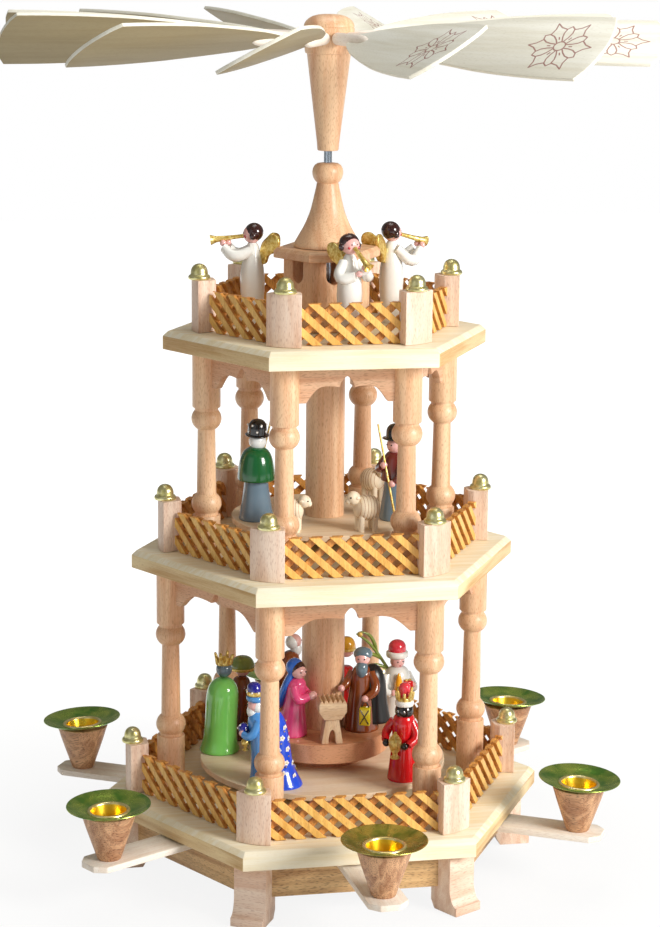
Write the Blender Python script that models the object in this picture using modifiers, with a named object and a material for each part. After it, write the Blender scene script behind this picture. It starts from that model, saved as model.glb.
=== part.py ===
# Candle carousel: a three-tier hexagonal wooden pyramid whose bladed rotor is turned by the
# warm air of six candles. Metres, +Z up. The origin is on the axis, level with the feet.

from math import cos, pi, radians, sin, sqrt

import bmesh
import bpy
from mathutils import Matrix, Vector

# Plan
sides = 6
base_corner = 0.117
middle_corner = 0.1005
top_corner = 0.084
plate_edge = 0.0068
plate_chamfer = 0.0025

# Heights, from the floor up
foot_height = 0.0309
lower_storey = 0.1195
upper_storey = 0.1037
seat_gap = 0.0003
running_gap = 0.0008

# Shaft
shaft_radius = 0.002
shaft_clearance = 0.0005
bearing_floor = 0.0045

# Columns
column_radius = 0.0072
column_ball = 0.0077
column_groove = 0.0063
column_neck = 0.0045
column_shank = 0.005
column_head = 0.0305
column_ball_height = 0.0107
lower_column_foot = 0.0293
upper_column_foot = 0.0177
lower_column_inset = 0.02
upper_column_inset = 0.0223

# Rotor
blade_count = 12
blade_phase = 7.9
blade_pitches = (30, 29, 31, 30, 28, 32, 35, 27.5, 28, 31.3, 39.3, 27.3)
blade_tip = 0.1665
shaft_above_roof = 0.0061

# Candle arms
arm_reach = 0.0377
arm_thickness = 0.0032
arm_width = 0.02
front_arm_skew = 4.0

# Working tolerances
merge_distance = 0.00001
overlap = 0.0004
overrun = 0.001

full_turn = 2 * pi
half_side = pi / sides
plate_thickness = plate_edge + plate_chamfer
sliding_gap = 2 * seat_gap

base_underside = foot_height + seat_gap
base_top = base_underside + plate_thickness
middle_underside = base_top + lower_storey
middle_top = middle_underside + plate_thickness
top_underside = middle_top + upper_storey
top_top = top_underside + plate_thickness
lower_column_ring = middle_corner - lower_column_inset
upper_column_ring = top_corner - upper_column_inset


def clear_scene():
    for item in list(bpy.data.objects):
        bpy.data.objects.remove(item, do_unlink=True)


def make_collection(name):
    group = bpy.data.collections.new(name)
    bpy.context.scene.collection.children.link(group)
    return group


def make_material(name, red, green, blue, roughness, metallic=0.0):
    surface = bpy.data.materials.new(name)
    surface.use_nodes = True
    shader = surface.node_tree.nodes["Principled BSDF"]
    shader.inputs["Base Color"].default_value = (red, green, blue, 1.0)
    shader.inputs["Roughness"].default_value = roughness
    shader.inputs["Metallic"].default_value = metallic
    surface.diffuse_color = (red, green, blue, 1.0)
    return surface


def add_object(name, mesh, group, surface=None):
    item = bpy.data.objects.new(name, mesh)
    group.objects.link(item)
    if surface is not None:
        mesh.materials.clear()
        mesh.materials.append(surface)
    return item


def add_guide(name, mesh):
    item = add_object(name, mesh, guides)
    item.hide_render = True
    item.display_type = "WIRE"
    return item


def evaluated_mesh(item):
    bpy.context.view_layer.update()
    graph = bpy.context.evaluated_depsgraph_get()
    mesh = bpy.data.meshes.new_from_object(item.evaluated_get(graph))
    mesh.transform(item.matrix_world)
    return mesh


def take_mesh(item):
    mesh = evaluated_mesh(item)
    bpy.data.objects.remove(item, do_unlink=True)
    return mesh


def turn(angle):
    return Matrix.Rotation(angle, 4, "Z")


def turned_mesh(profile, steps, closed=False):
    # Points are (radius, height), from the top down the outer side.
    mesh = bpy.data.meshes.new("profile")
    points = [(radius, 0.0, height) for radius, height in profile]
    edges = [(i, i + 1) for i in range(len(points) - 1)]
    if closed:
        edges.append((len(points) - 1, 0))
    mesh.from_pydata(points, edges, [])
    item = add_guide("turning", mesh)
    screw = item.modifiers.new("Turn", "SCREW")
    screw.steps = steps
    screw.render_steps = steps
    screw.use_merge_vertices = True
    screw.merge_threshold = merge_distance
    return take_mesh(item)


def flat_mesh(loops, thickness, placement=None):
    # Outlines in X and Y, thickened evenly to both sides of Z = 0.
    curve = bpy.data.curves.new("outline", "CURVE")
    curve.dimensions = "2D"
    curve.fill_mode = "BOTH"
    curve.extrude = thickness / 2
    for loop in loops:
        spline = curve.splines.new("POLY")
        spline.points.add(len(loop) - 1)
        for point, (x, y) in zip(spline.points, loop):
            point.co = (x, y, 0.0, 1.0)
        spline.use_cyclic_u = True
    item = add_guide("outline", curve)
    mesh = take_mesh(item)
    shell = bmesh.new()
    shell.from_mesh(mesh)
    bmesh.ops.remove_doubles(shell, verts=shell.verts, dist=merge_distance)
    bmesh.ops.recalc_face_normals(shell, faces=shell.faces)
    if placement is not None:
        shell.transform(placement)
    shell.to_mesh(mesh)
    shell.free()
    return mesh


def rod_mesh(start, end, start_radius, end_radius, steps):
    # A straight rod or cone between two points.
    along = end - start
    shell = bmesh.new()
    bmesh.ops.create_cone(
        shell, cap_ends=True, segments=steps, radius1=start_radius, radius2=end_radius,
        depth=along.length)
    aim = along.to_track_quat("Z", "Y").to_matrix().to_4x4()
    shell.transform(Matrix.Translation((start + end) / 2) @ aim)
    mesh = bpy.data.meshes.new("rod")
    shell.to_mesh(mesh)
    shell.free()
    return mesh


def block_mesh(size, centre):
    shell = bmesh.new()
    bmesh.ops.create_cube(shell, size=1.0)
    scale = Matrix.Diagonal((size[0], size[1], size[2], 1.0))
    shell.transform(Matrix.Translation(centre) @ scale)
    mesh = bpy.data.meshes.new("block")
    shell.to_mesh(mesh)
    shell.free()
    return mesh


def copies_mesh(mesh, placements):
    # The same mesh at several placements, as one mesh.
    shell = bmesh.new()
    for placement in placements:
        piece = mesh.copy()
        piece.transform(placement)
        shell.from_mesh(piece)
        bpy.data.meshes.remove(piece)
    result = bpy.data.meshes.new("copies")
    shell.to_mesh(result)
    shell.free()
    return result


def combined(mesh, operation, *tools):
    # The mesh with each tool joined (UNION) or cut away (DIFFERENCE).
    item = add_guide("work", mesh)
    helpers = []
    for tool in tools:
        helper = add_guide("tool", tool)
        step = item.modifiers.new("Combine", "BOOLEAN")
        step.operation = operation
        step.object = helper
        helpers.append(helper)
    result = take_mesh(item)
    for helper in helpers:
        bpy.data.objects.remove(helper, do_unlink=True)
    return result


def ring_angles(count, first):
    return [radians(first) + full_turn * i / count for i in range(count)]


def arc_points(centre, radii, start, end, steps):
    angles = [start + (end - start) * i / steps for i in range(steps + 1)]
    return [(centre[0] + radii[0] * cos(a), centre[1] + radii[1] * sin(a)) for a in angles]


def upright(radius, angle):
    # Takes an outline's X to the tangent, its Y to up and its thickness to the radius.
    basis = Matrix(((0, 0, 1, 0), (1, 0, 0, 0), (0, 1, 0, 0), (0, 0, 0, 1)))
    return turn(angle) @ Matrix.Translation((radius, 0, 0)) @ basis


def finish(name, mesh, surface, parent=None, placement=None, smooth=True):
    item = add_object(name, mesh, parts, surface)
    if placement is not None:
        item.matrix_world = placement
    if smooth:
        mesh.shade_smooth()
        mesh.set_sharp_from_angle(angle=radians(40))
    if parent is not None:
        item.parent = parent
        item.matrix_parent_inverse = parent.matrix_world.inverted()
    return item


# Plates

bore_steps = 12
arch_board = 0.004
arch_depth = 0.0192
arch_crown = 0.011
arch_cusp = 0.0117
arch_flat = 0.0031
arch_shares = ((0.95, 0.12), (0.82, 0.5), (0.65, 0.86), (0.4, 1.0))
notch_half = 0.0037
notch_apex = 0.0061
notch_waist_share = 0.9
notch_shoulder_share = 0.45
tongue = 0.0026


def plate_mesh(corner, underside):
    shell = bmesh.new()
    middle = Matrix.Translation((0, 0, underside + plate_thickness / 2))
    bmesh.ops.create_cone(
        shell, cap_ends=True, segments=sides, radius1=corner, radius2=corner,
        depth=plate_thickness, matrix=middle @ turn(half_side))
    top = underside + plate_thickness
    rim = [e for e in shell.edges if all(v.co.z > top - merge_distance for v in e.verts)]
    bmesh.ops.bevel(shell, geom=rim, offset=plate_chamfer, segments=1, affect="EDGES")
    mesh = bpy.data.meshes.new("plate")
    shell.to_mesh(mesh)
    shell.free()
    return mesh


def arch_outline(ring):
    # Straight top, deep ends in the columns, a low arch and half of the pointed notch.
    reach = ring / 2 - column_radius
    start = reach - arch_flat
    half = [(reach + tongue, overlap), (reach + tongue, -arch_depth), (start, -arch_depth)]
    span, vault = start - notch_half, arch_depth - arch_crown
    half += [(notch_half + x * span, y * vault - arch_depth) for x, y in arch_shares]
    half.append((notch_half, -arch_cusp))
    rise = arch_cusp - notch_apex
    half.append((notch_half * notch_waist_share, -notch_apex - rise / 2))
    half.append((notch_half * notch_shoulder_share, -notch_apex - rise / 5))
    mirrored = [(-x, y) for x, y in reversed(half)]
    return half + [(0.0, -notch_apex)] + mirrored


def arches_mesh(ring, underside):
    board = flat_mesh([arch_outline(ring)], arch_board)
    reach = ring * cos(half_side)
    lift = Matrix.Translation((0, 0, underside))
    placements = [lift @ upright(reach, a) for a in ring_angles(sides, -90)]
    return copies_mesh(board, placements)


def bore_mesh(radius, bottom, top):
    return rod_mesh(Vector((0, 0, bottom)), Vector((0, 0, top)), radius, radius, bore_steps)


def make_plates():
    hole = shaft_radius + shaft_clearance
    base = plate_mesh(base_corner, base_underside)
    pit = bore_mesh(hole, base_underside + bearing_floor, base_top + overrun)
    finish("base_plate", combined(base, "DIFFERENCE", pit), spruce)
    levels = (
        ("middle_plate", middle_corner, middle_underside, lower_column_ring),
        ("top_plate", top_corner, top_underside, upper_column_ring))
    for name, corner, underside, ring in levels:
        mesh = combined(plate_mesh(corner, underside), "UNION", arches_mesh(ring, underside))
        top = underside + plate_thickness
        bore = bore_mesh(hole, underside - overrun, top + overrun)
        finish(name, combined(mesh, "DIFFERENCE", bore), spruce)


# Plinth

foot_width = 0.017
foot_inset = 0.0095
foot_depth = 0.0135
foot_flare = 0.005
foot_lip = 0.0045
foot_sweep = 0.0095
foot_steps = 3
apron_setback = 0.0113
apron_thickness = 0.006
apron_height = 0.0184


def foot_outline():
    # Radius and height: a plain block that sweeps out to a lip.
    outer = base_corner - foot_inset
    inner = outer - foot_depth
    sweep = arc_points(
        (outer + foot_flare, foot_lip + foot_sweep), (foot_flare, foot_sweep),
        pi, 1.5 * pi, foot_steps)
    heel = (inner + foot_flare / 2, 0.0)
    return [(inner, foot_height)] + [(inner, foot_lip), heel, (outer + foot_flare, 0.0)] \
        + list(reversed(sweep)) + [(outer, foot_height)]


def make_plinth():
    outer = base_corner - apron_setback / cos(half_side)
    inner = outer - apron_thickness / cos(half_side)
    bottom = foot_height - apron_height
    profile = [(outer, foot_height), (outer, bottom), (inner, bottom), (inner, foot_height)]
    apron = turned_mesh(profile, sides, closed=True)
    stand = Matrix(((1, 0, 0, 0), (0, 0, -1, 0), (0, 1, 0, 0), (0, 0, 0, 1)))
    foot = flat_mesh([foot_outline()], foot_width, stand)
    feet = copies_mesh(foot, [turn(a) for a in ring_angles(sides, 0)])
    depth = arm_thickness + 2 * sliding_gap
    size = (6 * apron_thickness, arm_width + 4 * sliding_gap, depth + overrun)
    reach = outer * cos(half_side) - apron_thickness / 2
    notch = block_mesh(size, (reach, 0, foot_height + (overrun - depth) / 2))
    notches = copies_mesh(notch, [turn(a) for a in ring_angles(sides, -90)])
    mesh = combined(apron, "UNION", feet)
    finish("plinth", combined(mesh, "DIFFERENCE", notches), beech, smooth=False)


# Columns

column_steps = 8
ball_shoulder_share = 0.25
ball_width_share = 0.97


def column_profile(foot, height):
    head = height - column_head
    upper = head - column_ball_height
    lower = foot + column_ball_height
    shoulder = column_ball_height * ball_shoulder_share
    wide = column_ball * ball_width_share
    return [
        (0, height), (column_radius, height), (column_groove, head),
        (column_ball, head - shoulder), (wide, upper + shoulder), (column_neck, upper),
        (column_shank, lower), (wide, lower - shoulder), (column_ball, foot + shoulder),
        (column_groove, foot), (column_radius, 0), (0, 0)]


def make_columns(prefix, ring, floor, height, foot):
    # The head has two slots, towards its neighbours, that hold the ends of the arch boards.
    column = turned_mesh(column_profile(foot, height - 2 * seat_gap), column_steps)
    inner = column_radius - tongue - 2 * seat_gap
    depth = arch_depth + 2 * seat_gap
    size = (column_radius, arch_board + 2 * seat_gap, depth + overrun)
    slot = block_mesh(size, (inner + column_radius / 2, 0, height - seat_gap + (overrun - depth) / 2))
    spread = pi - 2 * half_side
    column = combined(
        column, "DIFFERENCE", copies_mesh(slot, [turn(spread), turn(-spread)]))
    column.name = prefix
    for number, angle in enumerate(ring_angles(sides, -120), start=1):
        spot = turn(angle) @ Matrix.Translation((ring, 0, floor + seat_gap))
        finish(f"{prefix}_{number}", column, beech, placement=spot)


# Fences

fence_panel = 0.004
fence_height = 0.0205
fence_slat = 0.0042
post_width = 0.0178
post_height = 0.026
post_flank = 0.009
post_front = 0.004
post_crown_share = 0.65
knob_radius = 0.006
knob_dome = 0.0047
knob_height = 0.0078
knob_steps = 6
lower_fence_inset = 0.0164
middle_fence_inset = 0.0175
upper_fence_inset = 0.0185


def post_outline():
    # Rounded outside, with flanks square to the two panels that meet it.
    half = post_width / 2
    back = -post_flank * cos(half_side)
    heel = half - post_flank * sin(half_side)
    crown = half * post_crown_share
    return [
        (0, half), (back, heel), (back, -heel), (0, -half),
        (post_front * post_crown_share, -crown), (post_front, 0),
        (post_front * post_crown_share, crown)]


def knob_profile():
    brim = knob_height / 6
    return [
        (0, knob_height), (knob_dome * sqrt(0.5), knob_height - knob_dome * (1 - sqrt(0.5))),
        (knob_dome, knob_height - knob_dome), (knob_dome, brim), (knob_radius, brim / 2),
        (knob_radius, -overlap), (0, -overlap)]


def post_mesh():
    lift = Matrix.Translation((0, 0, post_height / 2))
    post = flat_mesh([post_outline()], post_height, lift)
    knob = turned_mesh(knob_profile(), knob_steps)
    knob.transform(Matrix.Translation((0, 0, post_height)))
    return combined(post, "UNION", knob)


def lattice_loops(length):
    # Crossed slats: whole diamonds in the middle row, half diamonds along both edges.
    cells = max(1, round(length / fence_height))
    pitch = length / cells
    half_width = (pitch - fence_slat) / 2
    rise = half_width * fence_height / pitch
    left = -length / 2
    middle = fence_height / 2
    holes = []
    for cell in range(cells):
        x = left + pitch * (cell + 0.5)
        holes.append([
            (x - half_width, middle), (x, middle - rise), (x + half_width, middle),
            (x, middle + rise)])
    lower_edge = [(left - fence_slat, 0)]
    upper_edge = [(left - fence_slat, fence_height)]
    for cell in range(1, cells):
        x = left + pitch * cell
        for edge, tip in ((lower_edge, rise), (upper_edge, -rise)):
            level = edge[0][1]
            edge += [(x - half_width, level), (x, level + tip), (x + half_width, level)]
    lower_edge.append((-left + fence_slat, 0))
    upper_edge.append((-left + fence_slat, fence_height))
    return [lower_edge + list(reversed(upper_edge))] + holes


def make_fence(name, corner, inset, floor):
    post_ring = corner - inset
    panel_ring = post_ring - post_flank / 4
    length = panel_ring - post_width
    panel = flat_mesh(lattice_loops(length), fence_panel)
    lift = Matrix.Translation((0, 0, floor + seat_gap))
    reach = panel_ring * cos(half_side)
    panels = copies_mesh(panel, [lift @ upright(reach, a) for a in ring_angles(sides, -90)])
    step_out = Matrix.Translation((post_ring, 0, 0))
    posts = copies_mesh(post_mesh(), [lift @ turn(a) @ step_out for a in ring_angles(sides, 0)])
    finish(name, combined(posts, "UNION", panels), beech, smooth=False)


# Turret and spire

turret_corner = 0.0223
turret_height = 0.036
turret_room = 0.0135
window_width = 0.008
window_height = 0.0121
window_point = 0.004
roof_corner = 0.0275
roof_thickness = 0.005
roof_bevel = 0.0016
spire_foot = 0.017
spire_height = 0.0322
spire_ball = 0.0078
spire_ball_height = 0.01
spire_steps = 14
spire_shares = ((0.33, 1.0), (0.36, 0.88), (0.47, 0.64), (0.67, 0.33), (0.85, 0.17), (0.97, 0.05))
turret_floor = top_top + seat_gap
roof_underside = turret_floor + turret_height
spire_floor = roof_underside + roof_thickness + seat_gap
spire_top = spire_floor + spire_height
finial_top = spire_top + spire_ball_height


def make_turret():
    hole = shaft_radius + shaft_clearance
    walls = [
        (turret_corner, roof_underside), (turret_corner, turret_floor),
        (turret_room, turret_floor), (turret_room, roof_underside)]
    house = turned_mesh(walls, sides, closed=True)
    half = window_width / 2
    sill = roof_underside - window_height
    window = [
        (-half, roof_underside - seat_gap), (-half, sill + window_point), (0, sill),
        (half, sill + window_point), (half, roof_underside - seat_gap)]
    opening = flat_mesh([window], turret_corner)
    windows = copies_mesh(
        opening, [upright(turret_corner, a) for a in ring_angles(sides, -90)])
    eaves = roof_underside + roof_thickness
    roof = turned_mesh([
        (roof_corner - roof_bevel, eaves), (roof_corner, eaves - roof_bevel),
        (roof_corner, roof_underside - overlap), (hole, roof_underside - overlap),
        (hole, eaves)], sides, closed=True)
    mesh = combined(house, "DIFFERENCE", windows)
    finish("turret", combined(mesh, "UNION", roof), beech, smooth=False)


def make_spire():
    hole = shaft_radius + shaft_clearance
    middle = spire_top + spire_ball_height / 2
    profile = [
        (hole, finial_top), (spire_ball * 0.6, finial_top), (spire_ball, middle)]
    profile += [(spire_foot * r, spire_floor + spire_height * z) for r, z in spire_shares]
    profile += [(spire_foot, spire_floor), (hole, spire_floor)]
    finish("spire", turned_mesh(profile, spire_steps, closed=True), beech)


# Candle arms and drip pans

arm_inner = 0.062
arm_clip = 0.005
cup_foot = 0.006
cup_rim = 0.014
cup_height = 0.0239
cup_setback = 0.0132
cup_steps = 10
cup_shares = ((0.91, 0.8), (0.8, 0.56), (0.67, 0.33), (0.54, 0.12))
socket_radius = 0.0088
socket_floor = 0.007
socket_depth = 0.0088
brass_sheet = 0.0007
pan_radius = 0.0209
pan_rise = 0.0038
pan_seat = 0.0107
pan_lip = 0.0009
arm_top = foot_height - sliding_gap
arm_end = base_corner * cos(half_side) + arm_reach + cup_setback
cup_reach = arm_end - cup_setback
cup_top = arm_top + cup_height
arm_pivot = base_corner * cos(half_side) - apron_setback


def arm_mesh():
    # A slat with clipped corners and a turned cup with a tapered socket.
    half = arm_width / 2
    outline = [
        (arm_inner, -half), (arm_end - arm_clip, -half), (arm_end, arm_clip - half),
        (arm_end, half - arm_clip), (arm_end - arm_clip, half), (arm_inner, half)]
    lift = Matrix.Translation((0, 0, arm_top - arm_thickness / 2))
    slat = flat_mesh([outline], arm_thickness, lift)
    profile = [(0, cup_height), (cup_rim, cup_height)]
    profile += [(cup_rim * r, cup_height * z) for r, z in cup_shares]
    profile += [(cup_foot, 0), (cup_foot, -overlap), (0, -overlap)]
    cup = turned_mesh(profile, cup_steps)
    gap = brass_sheet + 2 * seat_gap
    slope = (socket_radius - socket_floor) / socket_depth
    bore_depth = socket_depth - brass_sheet
    bore = turned_mesh([
        (0, overrun), (socket_radius + gap + slope * overrun, overrun),
        (socket_floor + gap, -bore_depth - gap), (0, -bore_depth - gap)], cup_steps)
    cup.transform(Matrix.Translation((cup_reach, 0, arm_top)))
    bore.transform(Matrix.Translation((cup_reach, 0, cup_top)))
    return combined(combined(slat, "UNION", cup), "DIFFERENCE", bore)


def pan_mesh():
    # A pressed dish round a tapered candle socket with a rolled lip.
    seat = seat_gap
    inner_floor = brass_sheet - socket_depth
    lip = seat + brass_sheet + pan_lip
    return turned_mesh([
        (0, inner_floor), (socket_floor, inner_floor), (socket_radius, lip - pan_lip / 3),
        (socket_radius + brass_sheet, lip), (pan_seat, seat + brass_sheet),
        (pan_radius - brass_sheet, seat + pan_rise), (pan_radius, seat + pan_rise),
        (pan_radius, seat + pan_rise - brass_sheet), (pan_seat, seat),
        (socket_radius + brass_sheet, seat), (socket_floor + brass_sheet, inner_floor - brass_sheet),
        (0, inner_floor - brass_sheet)], cup_steps)


def make_arms():
    arm = arm_mesh()
    arm.transform(Matrix.Translation((-cup_reach, 0, -arm_top)))
    pan = pan_mesh()
    for number, angle in enumerate(ring_angles(sides, -90), start=1):
        skew = radians(front_arm_skew) if number == 1 else 0.0
        pivot = Matrix.Translation((arm_pivot, 0, 0))
        out = turn(angle) @ pivot @ turn(skew) @ Matrix.Translation((cup_reach - arm_pivot, 0, 0))
        slat = finish(
            f"candle_arm_{number}", arm, beech,
            placement=out @ Matrix.Translation((0, 0, arm_top)))
        bpy.context.view_layer.update()
        finish(
            f"drip_pan_{number}", pan, brass, parent=slat,
            placement=out @ Matrix.Translation((0, 0, cup_top)))


# Rotor

blade_sheet = 0.0018
blade_root = 0.038
blade_corner = 0.1615
blade_half = 0.0217
blade_steps = 4
blade_shares = ((0.0, 0.2), (0.06, 0.34), (0.18, 0.5), (0.36, 0.7), (0.56, 0.86), (0.78, 0.97))
dowel_radius = 0.0031
dowel_end = 0.0565
dowel_point = 0.009
dowel_steps = 8
tenon_radius = 0.0016
tenon_depth = 0.0045
hub_radius = 0.0128
hub_waist = 0.0114
hub_height = 0.0115
hub_dome = 0.0059
cone_length = 0.05
cone_top = 0.0111
cone_foot = 0.0053
head_floor = finial_top + shaft_above_roof
hub_floor = head_floor + cone_length
dowel_level = hub_floor + hub_height / 2
shaft_grip = cone_length * 0.6
blade_gap = hub_radius + seat_gap


def blade_outline():
    # Narrow at the root, widest at the corners, with a bowed tip.
    span = blade_corner - blade_root
    edge = [(blade_root + span * x, -blade_half * y) for x, y in blade_shares]
    bow = (blade_half ** 2 + (blade_tip - blade_corner) ** 2) / (2 * (blade_tip - blade_corner))
    swing = 2 * (blade_half / bow) / blade_steps
    tip = []
    for i in range(blade_steps + 1):
        angle = swing * (i - blade_steps / 2)
        tip.append((blade_tip - bow * (1 - cos(angle)), bow * sin(angle)))
    return edge + tip + [(x, -y) for x, y in reversed(edge)]


def blade_mesh(pitch):
    sheet = flat_mesh([blade_outline()], blade_sheet)
    tilt = Matrix.Rotation(radians(pitch), 4, "X")
    sheet.transform(tilt)
    tenon_end = hub_radius - tenon_depth + seat_gap
    profile = [
        (0, dowel_end), (dowel_radius * 0.5, dowel_end), (dowel_radius, dowel_end - dowel_point),
        (dowel_radius, blade_gap), (tenon_radius, blade_gap), (tenon_radius, tenon_end),
        (0, tenon_end)]
    dowel = turned_mesh(profile, dowel_steps)
    dowel.transform(Matrix.Rotation(pi / 2, 4, "Y"))
    return combined(dowel, "UNION", sheet)


def make_rotor(spindle):
    grip = shaft_radius + seat_gap
    waist = [
        (0, hub_floor + hub_height + hub_dome),
        (hub_radius * 0.6, hub_floor + hub_height + hub_dome * 0.8),
        (hub_radius * 0.94, hub_floor + hub_height + hub_dome * 0.3),
        (hub_radius, hub_floor + hub_height), (hub_radius, hub_floor),
        (hub_waist, hub_floor - hub_dome / 4), (cone_top, hub_floor - hub_dome / 4),
        (cone_foot, head_floor), (grip, head_floor), (grip, head_floor + shaft_grip),
        (0, head_floor + shaft_grip)]
    head = turned_mesh(waist, blade_count)
    head.transform(turn(radians(blade_phase) + pi / blade_count))
    inner = hub_radius - tenon_depth
    socket = rod_mesh(
        Vector((inner, 0, 0)), Vector((hub_radius + overrun, 0, 0)),
        tenon_radius + seat_gap, tenon_radius + seat_gap, dowel_steps)
    lift = Matrix.Translation((0, 0, dowel_level))
    angles = ring_angles(blade_count, blade_phase)
    sockets = copies_mesh(socket, [lift @ turn(a) for a in angles])
    finish("rotor_head", combined(head, "DIFFERENCE", sockets), beech, parent=spindle)
    for number, angle in enumerate(angles, start=1):
        blade = blade_mesh(blade_pitches[number - 1])
        finish(f"blade_{number}", blade, limewood, parent=spindle, placement=lift @ turn(angle))
    foot = base_underside + bearing_floor + seat_gap
    top = head_floor + shaft_grip - seat_gap
    shaft = turned_mesh([
        (0, top), (shaft_radius, top), (shaft_radius, foot + shaft_radius), (0, foot)],
        bore_steps)
    finish("shaft", shaft, steel, parent=spindle)


# Turntables

disc_thickness = 0.003
lower_disc_lift = 0.0105
upper_disc_lift = 0.0123
disc_swing = 0.0032
disc_steps = 24
lower_sleeve = 0.0112
upper_sleeve = 0.01
collar_radius = 0.009
stage_radius = 0.035
stage_thickness = 0.0102
stage_riser = 0.0063
stage_neck = 0.022
manger_width = 0.0135
manger_height = 0.0248
manger_depth = 0.012
manger_angle = -92.0
lower_disc_top = base_top + lower_disc_lift + disc_thickness
stage_top = lower_disc_top + stage_riser + stage_thickness
upper_disc_top = middle_top + upper_disc_lift + disc_thickness
lower_disc = lower_column_ring * cos(half_side) - arch_board / 2 - disc_swing
upper_disc = upper_column_ring * cos(half_side) - arch_board / 2 - disc_swing


def manger_mesh():
    # A crib on two splayed legs, standing near the front rim of the stage.
    waist = manger_height / 2
    half = manger_width / 2
    leg = half * 0.45
    splay = half * 0.85
    cheek = manger_height * 0.58
    outline = [
        (-splay, -overlap), (-leg, -overlap), (0, waist * 0.45), (leg, -overlap),
        (splay, -overlap), (leg, waist), (half, cheek), (half, manger_height),
        (-half, manger_height), (-half, cheek), (-leg, waist)]
    crib = flat_mesh([outline], manger_depth)
    lift = Matrix.Translation((0, 0, stage_top))
    reach = stage_radius - manger_depth / 2 - running_gap
    crib.transform(lift @ upright(reach, radians(manger_angle)))
    return crib


def make_turntables(spindle):
    bore = shaft_radius + seat_gap
    top = middle_underside - running_gap
    bottom = lower_disc_top - disc_thickness
    stage_floor = lower_disc_top + stage_riser
    profile = [
        (bore, top), (lower_sleeve, top), (lower_sleeve, stage_top), (stage_radius, stage_top),
        (stage_radius, stage_floor), (stage_neck, stage_floor), (stage_neck, lower_disc_top),
        (lower_disc, lower_disc_top), (lower_disc, bottom), (collar_radius, bottom),
        (collar_radius, base_top + running_gap), (bore, base_top + running_gap)]
    lower = turned_mesh(profile, disc_steps, closed=True)
    lower = combined(lower, "UNION", manger_mesh(), *background_mesh())
    finish("lower_turntable", lower, spruce, parent=spindle)
    top = top_underside - running_gap
    bottom = upper_disc_top - disc_thickness
    profile = [
        (bore, top), (upper_sleeve, top), (upper_sleeve, upper_disc_top),
        (upper_disc, upper_disc_top), (upper_disc, bottom), (collar_radius, bottom),
        (collar_radius, middle_top + running_gap), (bore, middle_top + running_gap)]
    upper = turned_mesh(profile, disc_steps, closed=True)
    upper = combined(upper, "UNION", *flock_meshes())
    finish("upper_turntable", upper, spruce, parent=spindle)


# Figures: a turned body, with arms, and what the hands hold. Shares are of width and height.

figure_steps = 8
limb_steps = 6
figure_width = 0.0104
figure_height = 0.056
angel_height = 0.0525
angel_slimness_share = 0.1181
angel_width = angel_height * angel_slimness_share
sheep_height = 0.019
row_share = 0.84
flock_share = 0.77
watch_share = 1.3
bow_share = 0.155
train_width_share = 0.95
train_height_share = 0.66
train_reach_share = 0.7
robe_shares = (
    (0.0, 1.0), (0.34, 0.97), (0.40, 0.90), (0.38, 0.83), (0.24, 0.76), (0.44, 0.72),
    (0.60, 0.64), (0.66, 0.40), (0.84, 0.12), (1.0, 0.0), (0.0, 0.0))
cape_shares = (
    (0.30, 1.0), (0.44, 0.93), (0.32, 0.88), (0.44, 0.82), (0.34, 0.75), (0.80, 0.68),
    (0.88, 0.58), (0.86, 0.2), (1.0, 0.1), (1.12, 0.0))
crown_shares = (
    (0.36, 1.0), (0.46, 0.88), (0.34, 0.86), (0.38, 0.80), (0.24, 0.73), (0.46, 0.69),
    (0.62, 0.60), (0.66, 0.40), (0.84, 0.12), (1.0, 0.0))
hat_shares = (
    (0.40, 1.0), (0.46, 0.90), (0.64, 0.885), (0.36, 0.87), (0.36, 0.81), (0.24, 0.76),
    (0.56, 0.72), (0.66, 0.55), (0.70, 0.40), (0.86, 0.12), (1.0, 0.0))
gown_shares = (
    (0.0, 1.0), (0.56, 0.96), (0.62, 0.87), (0.40, 0.80), (0.34, 0.76), (0.64, 0.72),
    (0.68, 0.60), (0.62, 0.52), (1.0, 0.28), (0.92, 0.0), (0.0, 0.0))
figure_shares = (
    ("cape", "king_green", "row", 164.0, 85.0, 0.98, 1.0),
    ("train", "king_blue", "row", -131.5, 165.0, 1.0, 0.955),
    ("crown", "king_red", "row", -53.0, -125.0, 0.94, 0.92),
    ("hat", "servant_white", "row", 33.0, -75.0, 0.94, 0.92),
    ("robe", "mary", "stage", -146.0, -30.0, 0.865, 0.736),
    ("robe", "joseph", "stage", -25.0, -110.0, 1.0, 0.779),
    ("hat", "shepherd_green", "flock", -172.0, 110.0, 1.0, 0.939),
    ("hat", "shepherd_brown", "flock", -25.0, -150.0, 0.94, 0.896),
    ("gown", "angel_front", "gallery", -84.0, -70.0, 1.0, 0.98),
    ("gown", "angel_right", "gallery", 19.0, 19.0, 1.0, 0.99),
    ("gown", "angel_left", "gallery", 160.0, 170.0, 1.0, 1.0))
background_shares = (
    (robe_shares, 66.0, -24.0, 0.9), (robe_shares, 108.0, 18.0, 0.9),
    (cape_shares, 138.0, 48.0, 0.86))
sheep_shares = (
    (-73.0, -170.0, 0.84, 1.0), (-119.0, -20.0, 0.84, 0.92), (42.0, -48.0, 0.84, 0.92))


def closed_shares(shares):
    # Adds the flat top and bottom where an outline doesn't reach the axis.
    first = [] if shares[0][0] == 0 else [(0.0, shares[0][1])]
    last = [] if shares[-1][0] == 0 else [(0.0, 0.0)]
    return first + list(shares) + last


def body_mesh(shares, width, height):
    profile = [(r * width, z * height) for r, z in closed_shares(shares)]
    return turned_mesh(profile, figure_steps)


def limb(start, end, thickness, taper=1.0):
    return rod_mesh(Vector(start), Vector(end), thickness, thickness * taper, limb_steps)


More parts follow.
